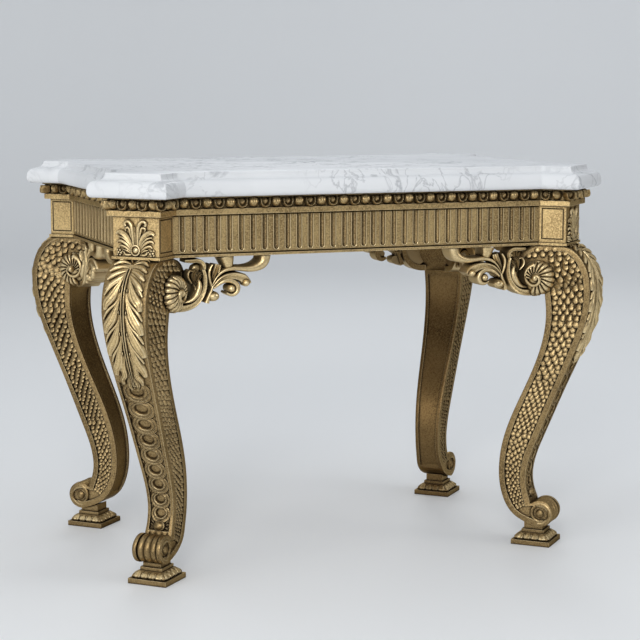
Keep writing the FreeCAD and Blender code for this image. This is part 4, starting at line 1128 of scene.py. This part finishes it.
half_palmette = [
    frond([(4.6, 20), (5.6, 40), (7.2, 56), (12, 66.5), (19, 69), (24, 64.5), (21.5, 59.5)],
          [2.4, 3.4, 4.2, 4.8, 4.4, 3.8, 3.0], [2.5, 4.0, 5.0, 6.0, 6.0, 5.0, 3.5], round_section, 26),
    frond([(1.0, 22), (1.4, 42), (1.8, 58)], [1.0, 1.6, 1.0], [1.0, 2.8, 1.4]),
    frond([(9, 34), (11.5, 47), (17, 56.5), (22.5, 54), (21.5, 49)], [1.6, 2.8, 3.2, 2.8, 1.8],
          [1.6, 3.6, 4.4, 4.0, 2.4]),
    frond([(8, 18), (15, 33), (26, 43.5), (37, 47), (43, 43)], [2.4, 4.8, 6.0, 5.6, 2.4],
          [2.0, 4.6, 6.0, 6.0, 3.0], hollow_section),
    frond([(9, 15), (18, 27.5), (29, 36), (38.5, 37.5)], [1.6, 2.8, 3.2, 1.6], [1.4, 3.6, 4.4, 2.4]),
    frond([(10, 12), (19, 22.0), (30, 29.0), (38.5, 29), (41.5, 25.5)], [1.8, 3.4, 4.0, 3.4, 1.6],
          [1.4, 4.0, 5.0, 4.6, 2.4]),
    frond([(11, 8.5), (19, 15), (28, 19.5), (35.5, 19), (37.5, 15.5)], [1.6, 2.8, 3.2, 2.8, 1.4],
          [1.4, 3.6, 4.2, 3.8, 2.0]),
    frond([(12, 5.5), (20, 10.5), (28, 12)], [1.4, 2.4, 1.4], [1.2, 3.2, 2.0]),
    frond([(10, 2.5), (18, 1.5), (24, 3.5), (27, 8.5)], [2.0, 2.8, 2.6, 1.6], [1.6, 3.8, 3.6, 2.2]),
]
berries = ((33, 5.0, 3.4), (39, 6.0, 3.4), (35.5, 10.5, 3.0), (41, 11, 2.8), (35, 1.2, 2.8), (41, 1.6, 2.6),
           (30, 8.0, 2.4))
half_palmette += [dome(l, PANEL_FOOT + z, r, r, 4.0, place_post, 0.6, 1.6, 5, 12) for l, z, r in berries]
boss = [(11.5, -1.0), (11.5, 2.6), (10.4, 4.4), (8.8, 4.6), (7.6, 3.0), (7.0, 1.6), (6.2, 2.8), (4.0, 4.4),
        (0.1, 5.0), (0.1, -1.0)]
palmette_skins = both_sides(half_palmette) + [turned(boss, 0.0, PANEL_FOOT + 11, place_post, 1.05)]
make_at_corners("palmette_carved", palmette_skins, bright_gilt, "palmette")

# %% [markdown]
# ## Shell and scroll brackets
#
# A bracket springs from each side of the leg and runs out under the apron. It starts as a shell, like a
# nautilus, on the side of the upper scroll. A smooth spiral leaves the shell's button, becomes a big C
# scroll, and sends out a stem that fans into fronds, hooks and curls up to the apron. The gaps between
# them are open. Every frond is sawn square through much or all of the bracket's thickness, and rounded
# only in front.

# %% Bracket plane
BRACKET_START = LEG_HALF_TOP * ROOT2
BRACKET_SETBACK = 5.0
BRACKET_DEPTH = 43.0


def place_bracket(p, q, rise):
    """Point of the bracket: p out from the leg, q down from the apron, rise in front of its face."""
    along = BRACKET_START + p
    front = rise - BRACKET_SETBACK
    return np.stack([(front - along) / ROOT2, (front + along) / ROOT2, FRAME_BOTTOM - q + 0 * rise], -1)


def plate(points, widths, crown=5.0, section=round_section, base=-7.0, depth=BRACKET_DEPTH, along=24):
    """Frond sawn through the bracket; crown is its rise, one number or a run from root to tip."""
    heights = [crown] * 5 if isinstance(crown, (int, float)) else crown
    return blade(points, widths, heights, place_bracket, section, along, 9, base, depth + base)

# %% Fronds, hooks and curls
bracket_skins = [
    plate([(12, 105), (30, 104), (48, 98), (61, 86), (69.5, 70), (72.5, 52), (71.5, 37), (68.5, 27)],
          [7.0, 7.0, 6.5, 6.2, 5.6, 5.0, 4.6, 4.0], 6.0, hollow_section, -6.0, along=40),
    plate([(24, 93), (41, 89), (52, 79), (58.5, 67), (60, 55), (57, 45)], [2.0, 4.6, 7.0, 8.4, 7.0, 2.4],
          [5, 10, 14, 13, 7], round_section, -10.0, 24.0, 30),
    plate([(41, 82), (49, 73), (51.5, 63), (48, 56)], [1.0, 2.2, 2.4, 1.0], [3, 7, 7, 3],
          base=-10.0, depth=24.0),
    plate([(69, 30), (70.5, 18), (62, 9.5), (46, 8.5), (30, 8)], [4.0, 4.4, 4.4, 4.2, 3.0],
          section=hollow_section),
    plate([(44, 54), (38, 46), (35, 36), (40, 28), (46, 30)], [1.6, 2.6, 2.8, 2.6, 1.4], [4, 8, 9, 8, 5],
          round_section, -8.0, 28.0),
    plate([(48, 55), (49, 42), (52, 32), (57, 28)], [2.0, 5.0, 6.5, 3.5], [3, 7, 9, 5],
          leaf_section, -8.0, 30.0),
    plate([(50, 56), (58, 44), (65, 36), (69, 38)], [2.0, 5.0, 6.0, 3.5], [3, 7, 9, 5],
          leaf_section, -8.0, 30.0),
    plate([(87, 62), (81.5, 45), (82, 27), (88, 17)], [2.2, 3.2, 3.4, 2.4], [4, 6, 7, 5]),
    plate([(86, 62), (92, 44), (99, 29), (102, 18)], [2.0, 5.0, 8.0, 7.0], [3, 6, 8, 4], leaf_section, -9.0),
    plate([(88, 60), (98, 43), (114, 30.5), (134, 26.5), (160, 28), (184, 25), (199, 15), (203, 0.5)],
          [2.0, 3.0, 4.0, 5.0, 5.6, 8.0, 11.0, 12.0], [4, 6, 8, 11, 12], base=-8.0, along=46),
    plate([(89, 62), (104, 46), (120, 39), (140, 37)], [1.6, 2.6, 2.8, 1.4], [4, 6, 6, 3], depth=34.0),
    plate([(125, 26), (123, 14), (120, 0.5)], [8.0, 12.0, 16.0], [5, 9, 11], round_section, -9.0),
    plate([(90, 63), (108, 49), (128, 42), (148, 45), (161, 52), (168, 60)],
          [2.2, 4.5, 7.0, 8.6, 10.0, 6.5], [4, 6, 8, 10, 6], hollow_section, -8.0, along=36),
    plate([(92, 66), (105, 56), (121, 50.5), (135, 55), (142.5, 66), (139.5, 76), (129, 80.5), (119, 76)],
          [2.2, 3.6, 5.0, 6.0, 6.5, 6.0, 4.5, 2.5], [4, 7, 8, 9, 5], base=-8.0, along=36),
    plate([(76, 96), (80, 84), (86, 70), (89, 60)], [5.0, 4.0, 3.2, 2.6]),
]
# p, q, half p, half q, height, base, sink, rings, sides, power: two eyes, three webs and the drop
buds = ((129, 68, 9.5, 9.0, 11.0, -8.0, 26.0, 8, 28, 0.6), (160, 57, 8.0, 7.5, 9.0, -4.0, 20.0, 7, 24, 0.6),
        (38, 64, 30, 34, 1.0, -33.0, 8.0, 4, 40, 0.5), (88, 48, 17, 24, 4.0, -24.0, 16.0, 5, 32, 0.5),
        (62, 30, 14, 14, 4.0, -22.0, 18.0, 5, 24, 0.5), (91, 83, 14.0, 10.5, 15.0, -14.0, 26.0, 8, 28, 0.55),
        (96, 80, 5.0, 4.5, 6.0, -4.0, 8.0, 5, 16, 0.6))
bracket_skins += [dome(*bud[:5], place_bracket, *bud[5:]) for bud in buds]

# %% Shell on the side of the leg
shell_slope = ([0.0, 10.0, 20.0, 30.0, 37.0, 39.0], [19.5, 18.0, 13.5, 8.8, 6.0, 4.5])
RIB_COUNT = 15
RIB_LEAN = math.radians(14)


def shell_spot(angle, radius):
    return (SHELL_U + radius * math.cos(angle), SHELL_Z + radius * math.sin(angle))


def place_shell(u, z, rise):
    """Point on the cone of the shell, which stands out most at its button."""
    return place_side(u, z, rise + np.interp(np.hypot(u - SHELL_U, z - SHELL_Z), *shell_slope))


disc = [(36.0, -7.5), (36.0, -1.5), (34.0, -1.0), (30.0, -1.0), (20.0, -1.0), (10.0, -1.0), (0.1, 0.0),
        (0.1, -22.0)]
shell_skins = [turned(disc, SHELL_U, SHELL_Z, place_shell, 1.0, 48)]
for index, degrees in enumerate(np.linspace(170, -106, RIB_COUNT)):
    grow = ramp(index, -1, 7)
    outer = 26.0 + 13.0 * grow
    angle = math.radians(degrees)
    line = [shell_spot(angle + RIB_LEAN, 8.5 + 2.5 * grow),
            shell_spot(angle + RIB_LEAN * 0.5, (outer + 9) / 2), shell_spot(angle, outer)]
    widths = [0.8, 1.7 + 0.8 * grow, 2.4 + 1.7 * grow, 2.9 + 2.6 * grow, 3.0 + 3.0 * grow, 1.7 + 1.9 * grow]
    shell_skins.append(blade(line, widths, [1.5, 4.8, 7.6, 9.4, 8.8, 3.4], place_shell,
                             along=20, base=-1.0, sink=5.0))
coil = spiral(SHELL_U, SHELL_Z, 100, -1.05, 2.0, 31.0)
shell_skins.append(blade(coil[::3], [3.8, 3.8, 4.4, 5.4, 6.4], [5.0, 6.0, 7.0, 8.0, 9.0], place_shell,
                         along=60, sink=2.4))
shell_skins.append(dome(SHELL_U + 0.5, SHELL_Z + 0.5, 8.4, 8.4, 8.0, place_shell, 0.0, 2.4, 7, 24, 0.6))

# %% Brackets on both sides of every leg
bracket = bracket_skins + shell_skins
make_at_corners("bracket_carved", bracket, bright_gilt, "bracket", "_long")
make_at_corners("bracket_carved", mirrored(bracket), bright_gilt, "bracket", "_side")

# %% [markdown]
# ## Cornice of eggs and cups
#
# Between frieze and slab runs an egg-and-dart moulding over a plain band. Eggs with small reeds on top
# take turns with upright cups that hold a smaller bud, and a cup always sits on each outer arris of the
# posts. The straight parts are one profile cut at the mitres; eggs and cups are set out along it at an
# even pitch. Their hollows are painted less dark than those of the leaves.

# %% Plain profile of the cornice
EGG_BOTTOM = FRAME_TOP - 24.0
CORONA_BOTTOM = EGG_BOTTOM - 12.0
cornice_line = [(0.0, CORONA_BOTTOM), (9.2, CORONA_BOTTOM), (10.0, CORONA_BOTTOM + 0.8),
                (10.0, EGG_BOTTOM - 0.8), (9.2, EGG_BOTTOM), (4.0, EGG_BOTTOM + 0.6), (3.0, EGG_BOTTOM + 6.0),
                (3.5, EGG_BOTTOM + 15.0), (7.0, EGG_BOTTOM + 20.5), (13.0, FRAME_TOP - 1.4),
                (13.0, FRAME_TOP), (0.0, FRAME_TOP)]


def mitred_run(edge):
    """Closed bar of the profile along one edge of the outline, cut at the mitres."""
    ends = []
    for end in (edge, (edge + 1) % OUTLINE_CORNERS):
        ends.append([np.append(outline(offset)[end], z) for offset, z in cornice_line])
    points = np.array(ends).reshape(-1, 3)
    count = len(cornice_line)
    faces = [[i, (i + 1) % count, (i + 1) % count + count, i + count] for i in range(count)]
    return points, faces + [list(range(count))[::-1], list(range(count, 2 * count))]


def place_from(spot, ahead, outward, stretch=1.0):
    """Place function on an upright face: t ahead of a spot of the plan, z up, rise outwards."""
    def place(t, z, rise):
        reach = rise * stretch + 0 * t
        return np.stack([spot[0] + ahead[0] * t + outward[0] * reach,
                         spot[1] + ahead[1] * t + outward[1] * reach, z + 0 * reach], -1)
    return place


def on_edge(edge):
    """Place function along one edge of the outline, and the length of the edge."""
    start, end = outline(0)[edge], outline(0)[(edge + 1) % OUTLINE_CORNERS]
    ahead = unit(end - start)
    return place_from(start, ahead, np.array([ahead[1], -ahead[0]])), float(np.linalg.norm(end - start))

# %% Egg and cup
EGG_MIDDLE = EGG_BOTTOM + 12.6
EGG_SIZE = (11.2, 10.8, 13.6)  # half width, half height and rise
BUD_SIZE = (7.2, 8.6, 7.5)
BALL_GROUND = 4.5
BALL_COLUMNS = 17
BALL_ROWS = 10
REED = 1.1
half_cup = [(9.6, 6.0), (9.0, -2.0), (6.2, -7.6)]  # out from its middle, and up


def reeded_ball(place, t, half_t, half_z, height):
    """Ball that swells from the cornice, with upright reeds on its upper part."""
    lean = np.radians(np.linspace(-90, 90, BALL_COLUMNS))[None]
    lift = np.radians(np.linspace(-90, 90, BALL_ROWS))[:, None]
    across = t + half_t * np.sin(lean) + 0 * lift
    up = EGG_MIDDLE + half_z * np.cos(lean) * np.sin(lift)
    wave = np.where(np.arange(BALL_COLUMNS) % 2, -REED, REED)[None]
    reed = wave * np.clip(np.cos(lean) * 1.4 - 0.3, 0, 1) * np.clip(0.7 + 2.2 * np.sin(lift), 0, 1)
    ball = (height + 2.0) * np.cos(lean) * np.cos(lift)
    rise = BALL_GROUND + ball + reed * np.cos(lift) ** 0.5
    return raised(place, across, up, rise, 2.0)


def egg(place, t):
    return [reeded_ball(place, t, *EGG_SIZE)]


def cup(place, t):
    line = [(t - out, EGG_MIDDLE + up) for out, up in half_cup] + [(t, EGG_MIDDLE - 10.0)]
    line += [(t + out, EGG_MIDDLE + up) for out, up in half_cup[::-1]]
    rim = blade(line, [1.2, 1.9, 2.3, 2.5, 2.3, 1.9, 1.2], [11.0, 12.8, 13.4, 13.6, 13.4, 12.8, 11.0], place,
                round_section, 26, 7, 4.5, 2.0)
    return [rim, reeded_ball(place, t, *BUD_SIZE)]

# %% Straight lengths of the cornice
EGG_PITCH = 25.1
END_MARGIN = 7.0


def ornaments(place, kinds, pitch, first):
    """Eggs and cups along one edge, the first of them at first."""
    skins = []
    for index, kind in enumerate(kinds):
        skins += kind(place, first + index * pitch)
    return skins


EDGES = {"rear": 3, "left": 7, "front": 11, "right": 15}  # the long edges of the outline
for name, edge in EDGES.items():
    place, length = on_edge(edge)
    shown = length - 2 * END_MARGIN
    count = round(shown / EGG_PITCH)
    count += 1 - count % 2
    pitch = shown / count
    kinds = [cup if index % 2 else egg for index in range(count)]
    eggs = ornaments(place, kinds, pitch, END_MARGIN + pitch / 2)
    make_piece("cornice_band_" + name, [mitred_run(edge)], flat_gilt, ["cornice_" + name])
    make_piece("cornice_eggs_" + name, eggs, egg_gilt)
    print("cornice", name, count, "eggs and cups")

# %% Corners of the cornice
ARRIS_STRETCH = 1.30  # a cup on an arris stands out further, because the mitre does
corner_band, corner_band_faces = merge([mitred_run(edge) for edge in (0, 1, 2)])
corner_skins = ornaments(on_edge(1)[0], [egg, cup, egg, cup, egg], 23.0, 6.0)
corner_skins += ornaments(on_edge(0)[0], [cup, egg], 23.4, 16.9)
corner_skins += ornaments(on_edge(2)[0], [egg, cup], 23.4, 19.8)
for arris in (1, 2):
    spot = outline(0)[arris]
    outward = unit(outline(10)[arris] - spot)
    corner_skins += cup(place_from(spot, np.array([-outward[1], outward[0]]), outward, ARRIS_STRETCH), 0.0)
points, faces = merge(corner_skins)
for corner, sx, sy in CORNERS:
    mirror = np.array([sx, sy, 1])
    make_piece("cornice_band_corner_" + corner, [(corner_band * mirror, corner_band_faces)], flat_gilt,
               ["cornice_corner_" + corner])
    make_piece("cornice_eggs_corner_" + corner, [(points * mirror, faces)], egg_gilt)
print("corner cornice faces:", len(faces))

# %% [markdown]
# ## Fluted aprons
#
# An apron is a board with a row of upright flutes, a sunk line and a small bead along its foot. Its face
# is one grid of points: each flute brings its own upright lines of the grid, close together where the
# section turns, and the points are pushed back by the depth of the flute there. A slim rod stands in the
# bottom of each flute. A thin raised fillet edges the flute, follows it down one side, round its foot
# and up the other, and catches the light.

# %% Where the flutes stand
FLUTE_RADIUS = 5.25
FLUTE_DEPTH = 4.6
FLUTE_FOOT = FRAME_BOTTOM + 11.5 + FLUTE_RADIUS
ROD_RADIUS = 0.235 * FLUTE_RADIUS
ROD_HEIGHT = 1.8
RAIL_THICKNESS = 50.0
LINE_TOP = CORONA_BOTTOM - 3.2  # foot of the dark line under the flat band


def flute_spots(half_rail, count, end_share, middle_share):
    """Middles of the flutes; the four middle intervals may be closer than the rest."""
    intervals = np.ones(count - 1)
    middle = (count - 1) // 2
    intervals[middle - 2:middle + 2] = middle_share
    pitch = 2 * half_rail / (intervals.sum() + 2 * end_share)
    return end_share * pitch + np.concatenate([[0], np.cumsum(intervals)]) * pitch

# %% Board of an apron
def fluted_board(place, length, spots):
    half = np.array([0.20, 0.26, 0.52, 0.78, 0.94, 1.0])
    across = FLUTE_RADIUS * np.concatenate([-half[::-1], [0.0], half])
    t = np.concatenate([[0.0]] + [spot + across for spot in spots] + [[length]])
    foot = FLUTE_FOOT - FLUTE_RADIUS * np.array([1.0, 0.97, 0.88, 0.74, 0.55, 0.30, 0.0])
    z = np.concatenate([FRAME_BOTTOM + np.array([0.0, 0.8, 4.6, 5.4, 5.5, 8.0, 8.1]), foot,
                        CORONA_BOTTOM + np.array([-3.2, -3.1, 2.0, 2.1]), [FRAME_TOP]])
    face = np.concatenate([[2.2, 3.0, 3.0, 2.3, -3.2, -3.2, 0.0], np.zeros(len(foot) + 1), np.full(4, -2.6)])
    off = np.abs(t[None] - spots[np.abs(t[None] - spots[:, None]).argmin(0)][None])
    below = np.clip(FLUTE_FOOT - z, 0, None)[:, None]
    away = np.hypot(off, below) / FLUTE_RADIUS
    depth = FLUTE_DEPTH * np.sqrt(np.clip(1 - away ** 2, 0, 1))
    rod = ROD_HEIGHT * np.sqrt(np.clip(1 - (off / ROD_RADIUS) ** 2, 0, 1)) * (below < 0.55 * FLUTE_RADIUS)
    depth = np.where((z < CORONA_BOTTOM + 2.05)[:, None], np.clip(depth - rod, 0, None), 0.0)
    t = np.broadcast_to(t[None], depth.shape)
    z = np.broadcast_to(z[:, None], depth.shape)
    inner = RAIL_THICKNESS + (t / length) * (length - 2 * RAIL_THICKNESS)
    back = place(inner, z, np.full_like(depth, -RAIL_THICKNESS))
    return closed_sheet(place(t, z, face[:, None] - depth), back)

# %% Fillets
FILLET_ACROSS = np.array([-1.0, -0.6, 0.0, 0.6, 1.0])
FILLET_HALF = 0.85
FILLET_HEIGHT = 1.25


def fillets(place, spots):
    """Narrow rounded ribs round the flutes."""
    radius = FLUTE_RADIUS + 0.7
    turn = np.linspace(math.pi, 2 * math.pi, 11)
    skins = []
    for spot in spots:
        line = [(spot - radius, LINE_TOP)]
        line += [(spot + radius * math.cos(t), FLUTE_FOOT + radius * math.sin(t)) for t in turn]
        line.append((spot + radius, LINE_TOP))
        width, crown = (np.full(len(line), size) for size in (FILLET_HALF, FILLET_HEIGHT))
        skins.append(swept(np.array(line), width, crown, FILLET_ACROSS, place, round_section, 0.0, 0.6))
    return skins


# %% The four aprons
long_rail = (A - HALF_POST * ROOT2, 33, 0.73, 0.86)
side_rail = (B - HALF_POST * ROOT2, 17, 0.83, 1.0)
for name, rail in (("rear", long_rail), ("front", long_rail), ("left", side_rail), ("right", side_rail)):
    place, length = on_edge(EDGES[name])
    spots = flute_spots(*rail)
    board = fluted_board(place, length, spots)
    make_piece("apron_fluted_" + name, [board], flat_gilt, [name + "_apron"])
    make_piece("flute_fillets_" + name, fillets(place, spots), bright_gilt)
    print("apron", name, "with", len(spots), "flutes")

# %% [markdown]
# ## Tongues on the feet
#
# Each foot is a square plinth, a cushion, a collar and a neck. The cushion is carved with four upright
# tongue leaves on every side, and a thin dart stands between each two of them.

# %% Tongue leaves round the cushion
FOOT_U = SCROLL_U - 17.3
cushion_line = ([11, 16.25, 22.25, 26], [37, 38, 32.5, 28])  # heights, and half widths there


def place_cushion(side):
    def place(t, z, rise):
        out = np.interp(z, *cushion_line) + rise
        across = t + 0 * out
        u = FOOT_U + (out if side == 0 else -out if side == 2 else across)
        l = across if side in (0, 2) else (out if side == 1 else -out)
        return np.stack([u, l, z + 0 * out], -1)
    return place


tongues = []
for side in range(4):
    place = place_cushion(side)
    for t in (-25.5, -8.5, 8.5, 25.5):
        line = [(t * 0.98, 11.4), (t * 0.98, 15.5), (t * 0.92, 20.0), (t * 0.84, 24.6)]
        tongues.append(blade(line, [6.2, 7.2, 6.4, 2.8], [3.4, 4.6, 4.4, 2.2], place, hollow_section,
                             12, 11, 0.2, 1.4))
    for t in (-34.0, -17.0, 0.0, 17.0, 34.0):
        line = [(t * 0.98, 12.0), (t * 0.94, 17.0), (t * 0.86, 22.5)]
        tongues.append(blade(line, [1.0, 1.8, 1.0], [0.8, 2.0, 1.0], place, round_section, 8, 5, 0.2, 1.4))
make_at_corners("foot_tongues", tongues, bright_gilt)

# %% [markdown]
# ## Room and light
#
# The table stands in a pale studio: a smooth floor that turns up into a wall all round. Grey cloth hangs
# on its right and behind it on the left, out of the picture, so that polished gold facing that way
# mirrors something dark. A big lamp in front on the left gives the form, a broad one beside it
# softens it, a weaker one on the right opens the shadows, and the rest is the soft light of a white room.

# %% Floor that sweeps up into a wall
# radius and height, in metres
room_profile = [(0.001, 0.0), (1.5, 0.0), (3.0, 0.0), (4.5, 0.0), (6.0, 0.0), (6.6, 0.03), (7.2, 0.13),
                (7.8, 0.32), (8.4, 0.62), (8.9, 1.0), (9.3, 1.5), (9.6, 2.1), (9.8, 2.9), (9.9, 4.0),
                (9.95, 6.0)]
ROOM_SIDES = 96
turn = np.linspace(0, 2 * np.pi, ROOM_SIDES, endpoint=False)
radius, level = np.array(room_profile).T[..., None]
room_rings = np.stack([radius * np.cos(turn), radius * np.sin(turn), level + 0 * turn], -1)
index = np.arange(len(room_profile) * ROOM_SIDES).reshape(-1, ROOM_SIDES)
beside = np.roll(index, -1, axis=1)
room_faces = np.stack([index[:-1], index[1:], beside[1:], beside[:-1]], -1).reshape(-1, 4)
room_mesh = bpy.data.meshes.new("studio_floor")
room_mesh.from_pydata(room_rings.reshape(-1, 3).tolist(), [], room_faces.tolist())
room_mesh.polygons.foreach_set("use_smooth", [True] * len(room_mesh.polygons))
floor = bpy.data.objects.new("studio_floor", room_mesh)
bpy.context.scene.collection.objects.link(floor)

# %% Paint of the room
paint, tree, shader = new_material("studio paint")
place = table_place(tree)
reach = add_node(tree, "VectorMath", {0: place}, operation="LENGTH").outputs["Value"]


def towards(direction, start, end, most=1.0):
    """0 at start and most at end, both in metres from the table's middle in a direction."""
    return spread(tree, combine(tree, "DOT_PRODUCT", place, direction), start, end, 0.0, most)


# Painted light on the room: the floor is lighter near the table, as a painted pool of light, and the far wall
# is lighter to make up for the little lamp light that reaches it.
shade = blend(tree, spread(tree, reach, 1.2, 3.5), (0.88, 0.893, 0.902), (0.83, 0.842, 0.850))
shade = blend(tree, spread(tree, reach, 6.5, 9.5), shade, (0.955, 0.967, 0.975))
# Painted shade: the room is darker towards the left and the back.
shade = blend(tree, towards((0.93, -0.36, 0.0), 1.0, -1.2), shade, (0.95, 0.95, 0.95), "MULTIPLY")
cloth_on_right = towards((0.8, -0.6, 0.0), 1.6, 4.2)
cloth_behind = towards((-0.8, 0.6, 0.0), 4.7, 6.2, 0.85)
shade = blend(tree, calculate(tree, "MAXIMUM", cloth_on_right, cloth_behind), shade, (0.36, 0.355, 0.35))
shade = blend(tree, noise(tree, 0.4, 2.0), shade, (0.96, 0.96, 0.96), "MULTIPLY")
fill(tree, shader, {"Base Color": shade, "Roughness": 0.62, "Specular IOR Level": 0.25})
room_mesh.materials.append(paint)

# %% Lamps
AIM = Vector((0, 0, 0.45))
WARM = (1.0, 0.985, 0.96)
COOL = (0.97, 0.985, 1.0)


def lamp(name, place, size, power, colour):
    """Rectangular lamp aimed at the middle of the table and kept out of the picture."""
    data = bpy.data.lights.new(name, "AREA")
    data.shape = "RECTANGLE"
    data.size, data.size_y = size
    data.energy = power
    data.color = colour
    light = bpy.data.objects.new(name, data)
    light.location = place
    light.rotation_euler = (AIM - Vector(place)).to_track_quat("-Z", "Y").to_euler()
    light.visible_camera = False
    bpy.context.scene.collection.objects.link(light)


lamp("key", (-2.2, -4.4, 2.6), (1.5, 1.2), 82, WARM)
lamp("side", (-3.6, -2.0, 1.3), (2.4, 1.6), 30, WARM)
lamp("fill", (3.7, -2.8, 1.7), (1.6, 1.2), 20, WARM)
lamp("high", (-1.8, -2.2, 3.6), (1.2, 1.0), 6, COOL)
lamp("rear", (1.5, 3.8, 3.0), (1.6, 1.4), 20, COOL)
world = bpy.data.worlds.new("white room")
world.use_nodes = True
sky = world.node_tree.nodes["Background"]
sky.inputs["Color"].default_value = (0.92, 0.955, 1.0, 1.0)
sky.inputs["Strength"].default_value = 0.78
bpy.context.scene.world = world
bpy.context.scene.view_settings.view_transform = "Standard"
print("lamps:", len(bpy.data.lights))
